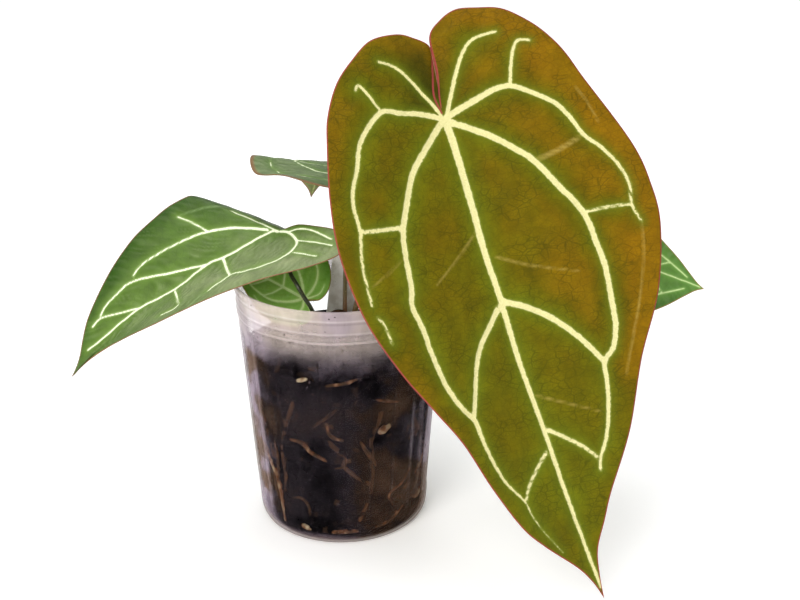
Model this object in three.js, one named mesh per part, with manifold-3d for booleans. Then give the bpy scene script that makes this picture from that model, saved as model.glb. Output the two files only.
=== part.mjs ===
// Potted anthurium hybrid: a soft nursery pot of bark mix, a short stem with thick roots,
// five heart-shaped leaves on thin petioles and a bare plastic tag.
// Millimetres, +Z up. The origin is the middle of the pot's base; the big leaf faces -Y.
import * as THREE from 'three';
import Module from 'manifold-3d';

// Driving sizes of the pot
const POT_HEIGHT = 133;
const POT_TOP_RADIUS = 54;
const POT_BASE_RADIUS = 44.6;
const POT_WALL = 0.8;
const POT_SIDES = 60;
const COLLAR_HEIGHT = 17.7;
const COLLAR_STEP = 0.7;
const RING_HEIGHTS = [5.8, 12.4];
const RING_BEAD = 0.45;
const FOOT_WIDTH = 6;
const FLOOR_RISE = 2;
const HUB_RADIUS = 9;
const HUB_FLARE = 1.5;
const FLUTES = 12;
const FLUTE_DEPTH = 0.7;
const FLUTE_BOTTOM = 10;
const FLUTE_TURN = THREE.MathUtils.degToRad(3);
const DRAIN_RADIUS = 3.5;
const DRAIN_CIRCLE = 24;
const DRAINS = 8;
const DRAIN_SIDES = 8;

// Potting mix, stem and roots
const GAP = 0.3;
const MIX_EDGE_HEIGHT = 98;
const MIX_CROWN_HEIGHT = 105;
const MIX_LUMP = 1.6;
const MIX_INSET = 1.2;
const MIX_SIDES = 32;
const BARK_CHIPS = 27;
const CHIP_SIZE = [3, 6.2];
const CHIP_SEED = 7;
const STEM_TOP = 112;
const STEM_BOTTOM = 78;
const STEM_RADIUS = 9;
const STEM_CENTRE = [-1, 1];
const STEM_SIDES = 14;
const ROOT_SIDES = 6;
const ROOT_STEPS = 9;
const ROOT_INSET = 0.8;

// Plant tag
const TAG_WIDTH = 14.3;
const TAG_LENGTH = 125;
const TAG_THICKNESS = 0.8;
const TAG_POINT = 16;
const TAG_TOP = [4, 15, 140];
const TAG_LEAN_SIDE = THREE.MathUtils.degToRad(7);
const TAG_LEAN_BACK = THREE.MathUtils.degToRad(-3);

// Leaves
const BLADE_HALF_THICKNESS = 0.4;
const MIDRIB_KEEL = 0.9;
const MIDRIB_WIDTH = 4;
const BLADE_RINGS = 4;
const OUTLINE_STEPS = 2;
const SPINE_PULL = 0.35;
const FOLD_ROUNDING = 6;
const LOBE_ROUNDING = 4;
const PETIOLE_SIDES = 8;
const PETIOLE_STEPS = 12;

// A juvenile blade's outline for one side: along the blade in blade lengths, across in half widths
const HEART = [
  [-0.03, 0], [-0.10, 0.06], [-0.17, 0.14], [-0.20, 0.30], [-0.19, 0.48], [-0.13, 0.68],
  [-0.04, 0.84], [0.08, 0.95], [0.20, 1.0], [0.33, 0.97], [0.45, 0.86], [0.57, 0.69],
  [0.69, 0.51], [0.80, 0.34], [0.89, 0.17], [0.95, 0.06], [1.0, 0],
];

// Each leaf has its own frame: x runs from the petiole joint to the tip, y to the left, z out of the
// upper side. roll turns the blade about its midrib; arch, nod, fold, twist, curl and wave lift it.
const LEAVES = [
  {
    name: 'front', joint: [51, -8, 212.5], tip: [118, -112, 12], roll: 0.25,
    arch: 4, nod: 0, fold: 0.2, grow: 0, twist: 0, bow: -8.5, curlLeft: 0, curlRight: 0,
    wave: 0, waveLeft: 0, waveRight: 0, overlap: 1.3, color: '#716813',
    petiole: [[6, 2, 98], [8, 0.5, 114], [17, -1, 141], [35, -1, 180]],
    petioleRadius: 1.7, petioleColor: '#45201b',
    left: [
      [-3, 0], [-12, 1.6], [-24, 4.6], [-41, 7], [-48, 14.5], [-51.5, 24], [-49.5, 34.5], [-46, 45],
      [-38.5, 53.5], [-28.5, 61], [-14.5, 67.5], [2.5, 72.5], [37.5, 82], [58, 83.5], [79, 81],
      [109, 69], [136.5, 51], [166.5, 35], [190.5, 18], [202, 11], [213.5, 4], [225, 1.3], [235.5, 0],
    ],
    right: [
      [-3, 0], [-12, -0.6], [-24, 3.2], [-37, 6.5], [-43.5, -1.5], [-46, -10], [-44.5, -24],
      [-36.5, -36.5], [-26, -48.5], [-11, -58.5], [2, -63.5], [27.5, -71], [53, -75], [82.5, -73],
      [109, -64.5], [130.5, -54], [148, -45.5], [170.5, -38.5], [191.5, -30], [203.5, -21.5],
      [218, -8.5], [227, -3], [235.5, 0],
    ],
  },
  {
    name: 'left', joint: [-30, 5, 153.5], tip: [-136, -14.5, 85], roll: -0.38,
    arch: 8, nod: 0, fold: 0.22, grow: 0.35, twist: 0.12, bow: 0, curlLeft: 0, curlRight: 2.4,
    wave: 0, waveLeft: 0, waveRight: 0, overlap: 0, color: '#4d8a3f',
    petiole: [
      [-9, -13, 98], [-14.2, -22, 122], [-17.6, -25, 129.5], [-20.8, -24, 135.5], [-24.4, -16, 139.5],
    ],
    petioleRadius: 1.15, petioleColor: '#2c301a',
    left: [
      [-3, 0], [-10, 2], [-17, 10], [-24, 20], [-27, 30], [-24, 38], [-17, 41.5], [-8, 41.5], [4, 39],
      [17, 35.5], [30, 33], [44, 30], [58.5, 27], [74, 22], [91, 12], [103, 4.5], [115, 0.5], [127.7, 0],
    ],
    right: [
      [-3, 0], [-6, -3], [-8, -8], [-7, -15], [-3, -24], [4, -34], [13, -40.5], [25, -45], [39, -45.5],
      [51, -43], [63, -40], [72, -36.5], [83, -31.5], [96, -24.5], [106, -18.5], [113, -12.5],
      [120, -5.5], [127.7, 0],
    ],
  },
  {
    name: 'back', joint: [14, 26, 174], tip: [-16, 112, 176], roll: 0,
    arch: 0, nod: 36, fold: 0.16, grow: 0, twist: 0, bow: 0, curlLeft: 0, curlRight: 0,
    wave: 3, waveLeft: 2.7, waveRight: 1, overlap: 0, color: '#3f7d38',
    petiole: [[2.2, 4, 98], [2.4, 7, 115], [3.2, 9, 133], [6, 13, 151]],
    petioleRadius: 1.3, petioleColor: '#5c5522',
    halfLeft: 54, halfRight: 46,
  },
  {
    name: 'low', joint: [-18.2, -8, 122], tip: [-56, 0, 141], roll: -0.55,
    arch: 1, nod: 0, fold: 0.1, grow: 0, twist: 0, bow: 0, curlLeft: 0, curlRight: 0,
    wave: 0, waveLeft: 0, waveRight: 0, overlap: 0, color: '#3c9230',
    petiole: [[-4, -5, 99], [-8.5, -8.5, 108]],
    petioleRadius: 1.6, petioleColor: '#6d7434',
    halfLeft: 22, halfRight: 31,
  },
  {
    name: 'right', joint: [107, 24, 143], tip: [192, 8, 116.7], roll: 0.9,
    arch: 4, nod: 0, fold: 0.1, grow: 0, twist: 0, bow: 0, curlLeft: 0, curlRight: 0,
    wave: 1.5, waveLeft: 0, waveRight: 1.5, overlap: 0, color: '#3a8a2e',
    petiole: [[5, 7, 98], [10, 10, 116], [28, 20, 141], [58, 32, 152], [88, 38, 146]],
    petioleRadius: 1.3, petioleColor: '#66702f',
    halfLeft: 32, halfRight: 50,
  },
];

// Roots: bearing where the root meets the pot wall, its height there, how far it turns along the
// wall, its end height and its radius
const ROOTS = [
  { bearing: -152, meet: 72, turn: 12, end: 14, radius: 1.7 },
  { bearing: -124, meet: 80, turn: -14, end: 20, radius: 1.4 },
  { bearing: -100, meet: 60, turn: 24, end: 34, radius: 1.5 },
  { bearing: -66, meet: 76, turn: -12, end: 12, radius: 1.4 },
  { bearing: -38, meet: 64, turn: 22, end: 22, radius: 1.6 },
  { bearing: -4, meet: 78, turn: -18, end: 18, radius: 1.5 },
  { bearing: 32, meet: 68, turn: 40, end: 16, radius: 1.7 },
  { bearing: 158, meet: 74, turn: -38, end: 24, radius: 1.6 },
  { bearing: 182, meet: 58, turn: 8, end: 12, radius: 1.4 },
];

const wasm = await Module();
wasm.setup();
const plant = new THREE.Group();

// A geometry from loose triangles, with shared corners joined and slivers of no area left out
function weld(triangles) {
  const index = new Map();
  const positions = [];
  const corners = [];
  for (const triangle of triangles) {
    const ids = triangle.map((point) => {
      const key = point.map((value) => Math.round(value * 1e4)).join(' ');
      if (!index.has(key)) {
        index.set(key, index.size);
        positions.push(...point);
      }
      return index.get(key);
    });
    if (new Set(ids).size === 3) corners.push(...ids);
  }
  const geometry = new THREE.BufferGeometry();
  geometry.setAttribute('position', new THREE.Float32BufferAttribute(positions, 3));
  geometry.setIndex(corners);
  return geometry;
}

// The triangles of any geometry as lists of corner points
function trianglesOf(geometry) {
  const loose = geometry.index ? geometry.toNonIndexed() : geometry;
  const place = loose.attributes.position;
  const triangles = [];
  for (let i = 0; i < place.count; i += 3) {
    triangles.push([0, 1, 2].map((k) => [place.getX(i + k), place.getY(i + k), place.getZ(i + k)]));
  }
  return triangles;
}

function signedVolume(triangles) {
  let total = 0;
  for (const [a, b, c] of triangles) {
    total += a[0] * (b[1] * c[2] - b[2] * c[1]);
    total += a[1] * (b[2] * c[0] - b[0] * c[2]);
    total += a[2] * (b[0] * c[1] - b[1] * c[0]);
  }
  return total / 6;
}

// A welded closed geometry whose faces point out
function closed(geometry) {
  const triangles = trianglesOf(geometry);
  const out = signedVolume(triangles) < 0 ? triangles.map(([a, b, c]) => [a, c, b]) : triangles;
  return weld(out);
}

function solid(geometry) {
  const whole = closed(geometry);
  const vertProperties = new Float32Array(whole.attributes.position.array);
  const triVerts = new Uint32Array(whole.index.array);
  return new wasm.Manifold(new wasm.Mesh({ numProp: 3, vertProperties, triVerts }));
}

// The largest body of a solid, back as a geometry
function geometryOf(body) {
  const bodies = body.decompose().sort((a, b) => b.volume() - a.volume());
  const mesh = bodies[0].getMesh();
  const geometry = new THREE.BufferGeometry();
  geometry.setAttribute('position', new THREE.Float32BufferAttribute(mesh.vertProperties, 3));
  geometry.setIndex(Array.from(mesh.triVerts));
  return geometry;
}

function addPiece(name, geometry, color, roughness, parent = plant) {
  const material = new THREE.MeshStandardMaterial({ color, roughness, metalness: 0 });
  const mesh = new THREE.Mesh(geometry, material);
  mesh.name = name;
  parent.add(mesh);
  return mesh;
}

// A round bar with flat ends along a smooth curve through the points
function tube(points, radius, sides, steps) {
  const path = new THREE.CatmullRomCurve3(points.map((point) => new THREE.Vector3(...point)));
  const section = new THREE.Shape();
  for (let i = 0; i < sides; i += 1) {
    const angle = (2 * Math.PI * i) / sides;
    const x = radius * Math.cos(angle);
    const y = radius * Math.sin(angle);
    if (i === 0) section.moveTo(x, y);
    else section.lineTo(x, y);
  }
  section.closePath();
  return new THREE.ExtrudeGeometry(section, { steps, extrudePath: path, bevelEnabled: false });
}

// A turned shape about +Z from [radius, height] pairs, its first segment edge at the given bearing
function turned(profile, sides, startAngle = 0) {
  const points = profile.map(([radius, height]) => new THREE.Vector2(radius, height));
  return new THREE.LatheGeometry(points, sides, startAngle).rotateX(Math.PI / 2);
}

function seeded(seed) {
  let state = seed;
  return () => {
    state = (state * 1664525 + 1013904223) % 4294967296;
    return state / 4294967296;
  };
}

// Pot
function wallRadius(height) {
  return POT_BASE_RADIUS + ((POT_TOP_RADIUS - POT_BASE_RADIUS) * height) / POT_HEIGHT;
}

function potGeometry() {
  const shoulder = POT_HEIGHT - COLLAR_HEIGHT;
  const collar = (height) => wallRadius(height) - 0.2;
  const outside = [
    [POT_BASE_RADIUS - FOOT_WIDTH - 4.6, FLOOR_RISE], [POT_BASE_RADIUS - FOOT_WIDTH - 3.4, 0],
    [POT_BASE_RADIUS - 3.4, 0], [POT_BASE_RADIUS - 1.2, 0.9], [POT_BASE_RADIUS - 0.1, 3],
    [wallRadius(6), 6], [wallRadius(FLUTE_BOTTOM), FLUTE_BOTTOM],
    [wallRadius(FLUTE_BOTTOM + 6), FLUTE_BOTTOM + 6],
    [wallRadius(shoulder - 9), shoulder - 9], [wallRadius(shoulder - 3), shoulder - 3],
    [wallRadius(shoulder - 1), shoulder - 1], [collar(shoulder) + COLLAR_STEP, shoulder + 0.8],
  ];
  for (const rise of RING_HEIGHTS) {
    const height = shoulder + rise;
    outside.push([collar(height) + 0.1, height - 1.1]);
    outside.push([collar(height) + 0.1 + RING_BEAD, height]);
    outside.push([collar(height) + 0.1, height + 1.1]);
  }
  outside.push([POT_TOP_RADIUS + 0.1, POT_HEIGHT - 2.2], [POT_TOP_RADIUS + 0.7, POT_HEIGHT - 1.4]);
  outside.push([POT_TOP_RADIUS + 0.7, POT_HEIGHT - 0.4], [POT_TOP_RADIUS, POT_HEIGHT]);
  const inside = [
    [POT_TOP_RADIUS - POT_WALL, POT_HEIGHT - 0.4],
    [wallRadius(shoulder - 3) - POT_WALL, shoulder - 3],
    [wallRadius(shoulder - 9) - POT_WALL, shoulder - 9],
    [wallRadius(FLUTE_BOTTOM + 6) - POT_WALL, FLUTE_BOTTOM + 6],
    [wallRadius(FLUTE_BOTTOM) - POT_WALL, FLUTE_BOTTOM], [wallRadius(6) - POT_WALL, 6],
    [POT_BASE_RADIUS - 1.2, 3], [POT_BASE_RADIUS - 3.4, POT_WALL],
    [POT_BASE_RADIUS - FOOT_WIDTH - 3, POT_WALL],
    [POT_BASE_RADIUS - FOOT_WIDTH - 4.4, FLOOR_RISE + POT_WALL],
  ];
  const hubOutside = [[0, 0], [HUB_RADIUS, 0], [HUB_RADIUS + HUB_FLARE, FLOOR_RISE]];
  const hubInside = [
    [HUB_RADIUS + HUB_FLARE - 0.4, FLOOR_RISE + POT_WALL], [HUB_RADIUS - 0.4, POT_WALL], [0, POT_WALL],
  ];
  const profile = [...hubOutside, ...outside, ...inside, ...hubInside];
  const geometry = turned(profile, POT_SIDES, FLUTE_TURN);
  const place = geometry.attributes.position;
  const bandTop = shoulder - 3;
  for (let i = 0; i < place.count; i += 1) {
    const x = place.getX(i);
    const y = place.getY(i);
    const height = place.getZ(i);
    const radius = Math.hypot(x, y);
    const onWall = radius > POT_BASE_RADIUS - 2 && height > FLUTE_BOTTOM + 1 && height < bandTop - 1;
    if (!onWall) continue;
    const step = Math.round(((Math.atan2(x, -y) - FLUTE_TURN) * POT_SIDES) / (2 * Math.PI));
    const perFlute = POT_SIDES / FLUTES;
    const inFlute = (((step % perFlute) + perFlute) % perFlute) > perFlute / 2;
    if (!inFlute) continue;
    const scale = (radius - FLUTE_DEPTH) / radius;
    place.setXYZ(i, x * scale, y * scale, height);
  }
  let pot = solid(geometry);
  const drain = (x, y) => {
    const hole = new THREE.CylinderGeometry(DRAIN_RADIUS, DRAIN_RADIUS, 8, DRAIN_SIDES).rotateX(Math.PI / 2);
    return solid(hole.translate(x, y, FLOOR_RISE));
  };
  for (let i = 0; i < DRAINS; i += 1) {
    const angle = (2 * Math.PI * i) / DRAINS;
    pot = pot.subtract(drain(DRAIN_CIRCLE * Math.cos(angle), DRAIN_CIRCLE * Math.sin(angle)));
  }
  return geometryOf(pot);
}

// Leaf surface
function leafFrame(leaf) {
  const joint = new THREE.Vector3(...leaf.joint);
  const along = new THREE.Vector3(...leaf.tip).sub(joint);
  const length = along.length();
  along.normalize();
  const level = new THREE.Vector3(0, 0, 1).cross(along).normalize();
  const upright = along.clone().cross(level);
  const across = level.clone().multiplyScalar(Math.cos(leaf.roll));
  across.addScaledVector(upright, Math.sin(leaf.roll));
  const out = along.clone().cross(across);
  return { joint, along, across, out, length };
}

function liftAt(leaf, length, side, u, w) {
  const t = u / length;
  const off = w - leaf.bow * 4 * t * (1 - t);
  const reach = Math.abs(off);
  const half = (leaf.halfLeft ?? 50);
  const bend = leaf.arch * 4 * t * (1 - t) * (t > 0 ? 1 : 0.6) - leaf.nod * Math.max(t, 0) ** 4;
  const fold = (leaf.fold + leaf.grow * t) * (Math.hypot(off, FOLD_ROUNDING) - FOLD_ROUNDING);
  const beyond = Math.max(0, 0.55 * reach - 0.84 * u);
  const curl = (off > 0 ? leaf.curlLeft : leaf.curlRight);
  const drop = curl * (Math.hypot(beyond, LOBE_ROUNDING) - LOBE_ROUNDING);
  const phase = off > 0 ? leaf.waveLeft : leaf.waveRight;
  const swell = leaf.wave * Math.sin(4 * Math.PI * t + phase) * Math.min(reach / half, 1.5) ** 2;
  const lap = leaf.overlap * side * THREE.MathUtils.smoothstep(-u, 3, 21);
  return bend + fold + leaf.twist * t * off - drop + swell + lap;
}

function bladeOutlines(leaf, length) {
  const listed = (side, half) => side ?? HEART.map(([a, b]) => [a * length, b * half]);
  const left = listed(leaf.left, leaf.halfLeft);
  const right = listed(leaf.right, -leaf.halfRight);
  const smooth = (points) => {
    const curve = new THREE.SplineCurve(points.map(([u, w]) => new THREE.Vector2(u, w)));
    return curve.getPoints((points.length - 1) * OUTLINE_STEPS);
  };
  return [smooth(left), smooth(right)];
}

function bladeGeometry(leaf) {
  const { length } = leafFrame(leaf);
  const [left, right] = bladeOutlines(leaf, length);
  const last = left.length - 1;
  const spine = left.map((point, i) => {
    const mean = (point.x + right[i].x) / 2;
    const width = (Math.abs(point.y) + Math.abs(right[i].y)) / 2;
    const u = i === last ? length : Math.max(0, mean - SPINE_PULL * width);
    const t = u / length;
    return new THREE.Vector2(u, leaf.bow * 4 * t * (1 - t));
  });
  const keelAt = (u, w) => {
    const t = Math.min(Math.max(u / length, 0), 1);
    const off = w - leaf.bow * 4 * t * (1 - t);
    return MIDRIB_KEEL * (1 - t) * Math.exp(-((off / MIDRIB_WIDTH) ** 2));
  };
  const skins = (side, u, w) => {
    const step = 0.05;
    const lift = liftAt(leaf, length, side, u, w);
    const slopeU = (liftAt(leaf, length, side, u + step, w) - lift) / step;
    const slopeW = (liftAt(leaf, length, side, u, w + step) - lift) / step;
    const size = Math.hypot(slopeU, slopeW, 1);
    const normal = [-slopeU / size, -slopeW / size, 1 / size];
    const below = BLADE_HALF_THICKNESS + keelAt(u, w);
    const at = (offset) => [u + normal[0] * offset, w + normal[1] * offset, lift + normal[2] * offset];
    return { upper: at(BLADE_HALF_THICKNESS), lower: at(-below) };
  };
  const triangles = [];
  const quad = (a, b, c, d) => triangles.push([a, b, c], [a, c, d]);
  for (const [side, outline] of [[1, left], [-1, right]]) {
    const grid = outline.map((edge, i) => {
      const row = [];
      for (let j = 0; j <= BLADE_RINGS; j += 1) {
        const point = spine[i].clone().lerp(edge, j / BLADE_RINGS);
        const shared = i === 0 || i === last || j === 0;
        row.push(skins(shared ? 0 : side, point.x, point.y));
      }
      return row;
    });
    for (let i = 0; i < last; i += 1) {
      for (let j = 0; j < BLADE_RINGS; j += 1) {
        const corners = [grid[i][j], grid[i + 1][j], grid[i + 1][j + 1], grid[i][j + 1]];
        const order = side > 0 ? corners : [corners[0], corners[3], corners[2], corners[1]];
        quad(...order.map((corner) => corner.upper));
        const under = [order[0], order[3], order[2], order[1]].map((corner) => corner.lower);
        triangles.push([under[0], under[1], under[2]], [under[0], under[2], under[3]]);
      }
      const near = grid[i][BLADE_RINGS];
      const far = grid[i + 1][BLADE_RINGS];
      if (side > 0) quad(near.upper, far.upper, far.lower, near.lower);
      else quad(far.upper, near.upper, near.lower, far.lower);
    }
  }
  return closed(weld(triangles));
}

// The petiole's centre line: from its foot in the stem to just under the joint of the blade
function petiolePath(leaf, footDrop = 0) {
  const { joint, out } = leafFrame(leaf);
  const below = (distance) => joint.clone().addScaledVector(out, -distance).toArray();
  const foot = leaf.petiole[0];
  const lowered = [foot[0], foot[1], foot[2] - footDrop];
  const lobeRoom = 0.25 * (leaf.curlLeft + leaf.curlRight);
  const end = BLADE_HALF_THICKNESS + MIDRIB_KEEL + GAP + lobeRoom;
  return [lowered, ...leaf.petiole.slice(1), below(end + 7), below(end)];
}

function petioleGeometry(leaf, grow = 0) {
  return tube(petiolePath(leaf, grow), leaf.petioleRadius + grow, PETIOLE_SIDES, PETIOLE_STEPS);
}

function rootPath(root, grow) {
  const points = [[STEM_CENTRE[0], STEM_CENTRE[1], STEM_BOTTOM + 12]];
  const wallAt = (height) => wallRadius(height) - POT_WALL - FLUTE_DEPTH - ROOT_INSET - root.radius;
  const at = (bearing, radius, height) => {
    const angle = THREE.MathUtils.degToRad(bearing);
    return [radius * Math.cos(angle), radius * Math.sin(angle), height];
  };
  points.push(at(root.bearing, 0.45 * wallAt(root.meet), root.meet + 12));
  points.push(at(root.bearing, 0.82 * wallAt(root.meet), root.meet + 5));
  for (const share of [0, 0.25, 0.5, 0.75, 1]) {
    const height = root.meet + (root.end - root.meet) * share;
    const sway = 3 * Math.sin(7 * share + root.bearing);
    points.push(at(root.bearing + root.turn * share + sway, wallAt(height), height));
  }
  points[points.length - 1][2] -= grow;
  return points;
}

// The short stem with its old leaf rings, and the roots that leave it, as one grown piece
function stemSolid(grow = 0) {
  const rings = [
    [0, STEM_BOTTOM], [0.55, STEM_BOTTOM + 2], [0.85, STEM_BOTTOM + 9], [0.78, STEM_BOTTOM + 13],
    [0.98, STEM_BOTTOM + 18], [0.84, STEM_BOTTOM + 22], [1, STEM_BOTTOM + 27],
    [0.72, STEM_TOP - 3], [0.3, STEM_TOP - 0.4], [0, STEM_TOP],
  ];
  const last = rings.length - 1;
  const profile = rings.map(([share, height], i) => {
    const rise = i === 0 ? -grow : i >= last - 1 ? grow : 0;
    return [share === 0 ? 0 : share * STEM_RADIUS + grow, height + rise];
  });
  const body = turned(profile, STEM_SIDES).translate(STEM_CENTRE[0], STEM_CENTRE[1], 0);
  let stem = solid(body);
  for (const root of ROOTS) {
    stem = stem.add(solid(tube(rootPath(root, grow), root.radius + grow, ROOT_SIDES, ROOT_STEPS)));
  }
  return stem;
}

// The tag's flat stake, straight at the top and pointed at its foot
function tagGeometry(grow = 0) {
  const half = TAG_WIDTH / 2 + grow;
  const corner = 2;
  const outline = new THREE.Shape();
  outline.moveTo(0, -TAG_LENGTH - grow);
  outline.lineTo(half, -TAG_LENGTH + TAG_POINT);
  outline.lineTo(half, -corner + grow);
  outline.lineTo(half - corner, grow);
  outline.lineTo(-half + corner, grow);
  outline.lineTo(-half, -corner + grow);
  outline.lineTo(-half, -TAG_LENGTH + TAG_POINT);
  outline.closePath();
  const depth = TAG_THICKNESS + 2 * grow;
  const plate = new THREE.ExtrudeGeometry(outline, { depth, bevelEnabled: false });
  plate.translate(0, 0, -depth / 2).rotateX(Math.PI / 2);
  plate.rotateY(TAG_LEAN_SIDE).rotateX(TAG_LEAN_BACK);
  return plate.translate(...TAG_TOP);
}

// The bark mix: it fills the pot, heaps up round the stem and carries loose chips on top
function mixGeometry() {
  const edge = (height) => wallRadius(height) - POT_WALL - FLUTE_DEPTH - MIX_INSET;
  const floor = FLOOR_RISE + POT_WALL + GAP;
  const heap = (share) => MIX_EDGE_HEIGHT + (MIX_CROWN_HEIGHT - MIX_EDGE_HEIGHT) * share;
  const profile = [
    [0, floor], [POT_BASE_RADIUS - FOOT_WIDTH - 6, floor], [POT_BASE_RADIUS - 4.4, floor + 1],
    [edge(10), 10], [edge(60), 60], [edge(MIX_EDGE_HEIGHT), MIX_EDGE_HEIGHT - 2],
    [edge(MIX_EDGE_HEIGHT) - 3, heap(0.05)], [40, heap(0.2)], [32, heap(0.45)], [22, heap(0.75)],
    [11, heap(0.95)], [0, heap(1)],
  ];
  const geometry = turned(profile, MIX_SIDES);
  const place = geometry.attributes.position;
  for (let i = 0; i < place.count; i += 1) {
    const x = place.getX(i);
    const y = place.getY(i);
    const height = place.getZ(i);
    if (height < MIX_EDGE_HEIGHT - 1) continue;
    const lump = Math.sin(0.31 * x + 1.3) * Math.cos(0.27 * y + 0.4) + 0.6 * Math.sin(0.5 * x - 0.43 * y);
    place.setZ(i, height + MIX_LUMP * lump * 0.6);
  }
  let mix = solid(geometry);
  const random = seeded(CHIP_SEED);
  for (let i = 0; i < BARK_CHIPS; i += 1) {
    const angle = 2 * Math.PI * random();
    const radius = 43 * Math.sqrt(random());
    const size = CHIP_SIZE[0] + (CHIP_SIZE[1] - CHIP_SIZE[0]) * random();
    const chip = new THREE.IcosahedronGeometry(1, 0);
    chip.scale(size, size * (0.55 + 0.3 * random()), size * (0.35 + 0.25 * random()));
    chip.rotateX(0.9 * (random() - 0.5)).rotateY(0.9 * (random() - 0.5)).rotateZ(2 * Math.PI * random());
    const height = heap(1 - Math.min(1, radius / 46) ** 1.6);
    chip.translate(radius * Math.cos(angle), radius * Math.sin(angle), height + 0.6);
    mix = mix.add(solid(chip));
  }
  mix = mix.subtract(stemSolid(GAP));
  mix = mix.subtract(solid(tagGeometry(GAP)));
  for (const leaf of LEAVES) mix = mix.subtract(solid(petioleGeometry(leaf, GAP)));
  return geometryOf(mix);
}

function stemGeometry() {
  let stem = stemSolid();
  for (const leaf of LEAVES) stem = stem.subtract(solid(petioleGeometry(leaf, GAP)));
  return geometryOf(stem);
}

function addLeaf(leaf) {
  const { joint, along, across, out } = leafFrame(leaf);
  const blade = addPiece(`blade_${leaf.name}`, bladeGeometry(leaf), leaf.color, 0.6);
  blade.position.copy(joint);
  blade.quaternion.setFromRotationMatrix(new THREE.Matrix4().makeBasis(along, across, out));
  addPiece(`petiole_${leaf.name}`, closed(petioleGeometry(leaf)), leaf.petioleColor, 0.5);
}

addPiece('nursery_pot', potGeometry(), '#d8d3cf', 0.4);
addPiece('potting_mix', mixGeometry(), '#2b1e17', 0.95);
addPiece('stem_and_roots', stemGeometry(), '#9a7b52', 0.8);
addPiece('plant_tag', closed(tagGeometry()), '#c8c5c0', 0.5);
for (const leaf of LEAVES) addLeaf(leaf);

export default plant;
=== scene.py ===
"""Potted anthurium hybrid: leaves, petioles, mix, roots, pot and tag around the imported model."""
import math

import bpy
import numpy as np
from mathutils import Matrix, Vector


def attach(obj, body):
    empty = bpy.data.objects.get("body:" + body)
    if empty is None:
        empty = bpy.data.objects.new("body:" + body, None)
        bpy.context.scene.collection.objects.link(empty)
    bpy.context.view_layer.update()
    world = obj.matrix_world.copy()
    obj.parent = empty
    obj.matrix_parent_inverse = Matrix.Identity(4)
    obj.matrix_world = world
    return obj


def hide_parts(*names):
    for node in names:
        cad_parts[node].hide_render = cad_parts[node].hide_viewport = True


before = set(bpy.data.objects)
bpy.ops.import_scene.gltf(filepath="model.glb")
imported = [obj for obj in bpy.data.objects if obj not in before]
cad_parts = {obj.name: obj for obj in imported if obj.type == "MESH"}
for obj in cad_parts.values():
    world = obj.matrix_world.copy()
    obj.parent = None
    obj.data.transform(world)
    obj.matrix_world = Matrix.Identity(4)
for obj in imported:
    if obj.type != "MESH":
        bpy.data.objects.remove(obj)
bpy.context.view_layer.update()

MM = 0.001
BODY = "root"

# Pot
POT_HEIGHT = 133
POT_TOP_RADIUS = 54
POT_BASE_RADIUS = 44.6
POT_WALL = 0.8
POT_SIDES = 240
COLLAR_HEIGHT = 17.7
COLLAR_STEP = 0.7
RING_HEIGHTS = (5.8, 12.4)
RING_BEAD = 0.45
FOOT_WIDTH = 6
FLOOR_RISE = 2
HUB_RADIUS = 9
HUB_FLARE = 1.5
FLUTES = 12
FLUTE_DEPTH = 0.7
FLUTE_BOTTOM = 10
FLUTE_CENTRE = math.radians(24)
FLUTE_HALF = math.radians(7)
FLUTE_PITCH = 2 * math.pi / FLUTES
SHOULDER = POT_HEIGHT - COLLAR_HEIGHT

# Potting mix and stem
MIX_EDGE_HEIGHT = 98
MIX_CROWN_HEIGHT = 105
MIX_INSET = 1.2
HEAP_RADIUS = 46
TOP_CHIPS = 700
WALL_CHIPS = 1500
STEM_BOTTOM = 78
STEM_LENGTH = 34
STEM_RADIUS = 9
STEM_CENTRE = (-1, 1)

# Leaf blades
KEEL = 0.9
KEEL_WIDTH = 4
SPINE_PULL = 0.35
FOLD_ROUNDING = 6
LOBE_ROUNDING = 4
HALF_THICKNESS = 0.3
VEIN_REACH = 12
FAR = 99.0
SLOPE_STEP = 0.05
WELD_GRID = 2e3
HEART = [
    (-0.03, 0), (-0.10, 0.06), (-0.17, 0.14), (-0.20, 0.30), (-0.19, 0.48), (-0.13, 0.68),
    (-0.04, 0.84), (0.08, 0.95), (0.20, 1.0), (0.33, 0.97), (0.45, 0.86), (0.57, 0.69),
    (0.69, 0.51), (0.80, 0.34), (0.89, 0.17), (0.95, 0.06), (1.0, 0),
]
HEART_VEINS = [
    (0.8, 0.4, [(0.01, 0), (0.10, 0.22), (0.25, 0.43), (0.42, 0.48), (0.60, 0.38), (0.76, 0.22),
        (0.88, 0.08)]),
    (0.7, 0.25, [(0, 0.02), (-0.03, 0.22), (-0.02, 0.45), (0.06, 0.66), (0.20, 0.78), (0.36, 0.76),
        (0.52, 0.6)]),
    (0.55, 0.2, [(0, 0.01), (-0.07, 0.10), (-0.13, 0.24), (-0.13, 0.42)]),
]

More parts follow.
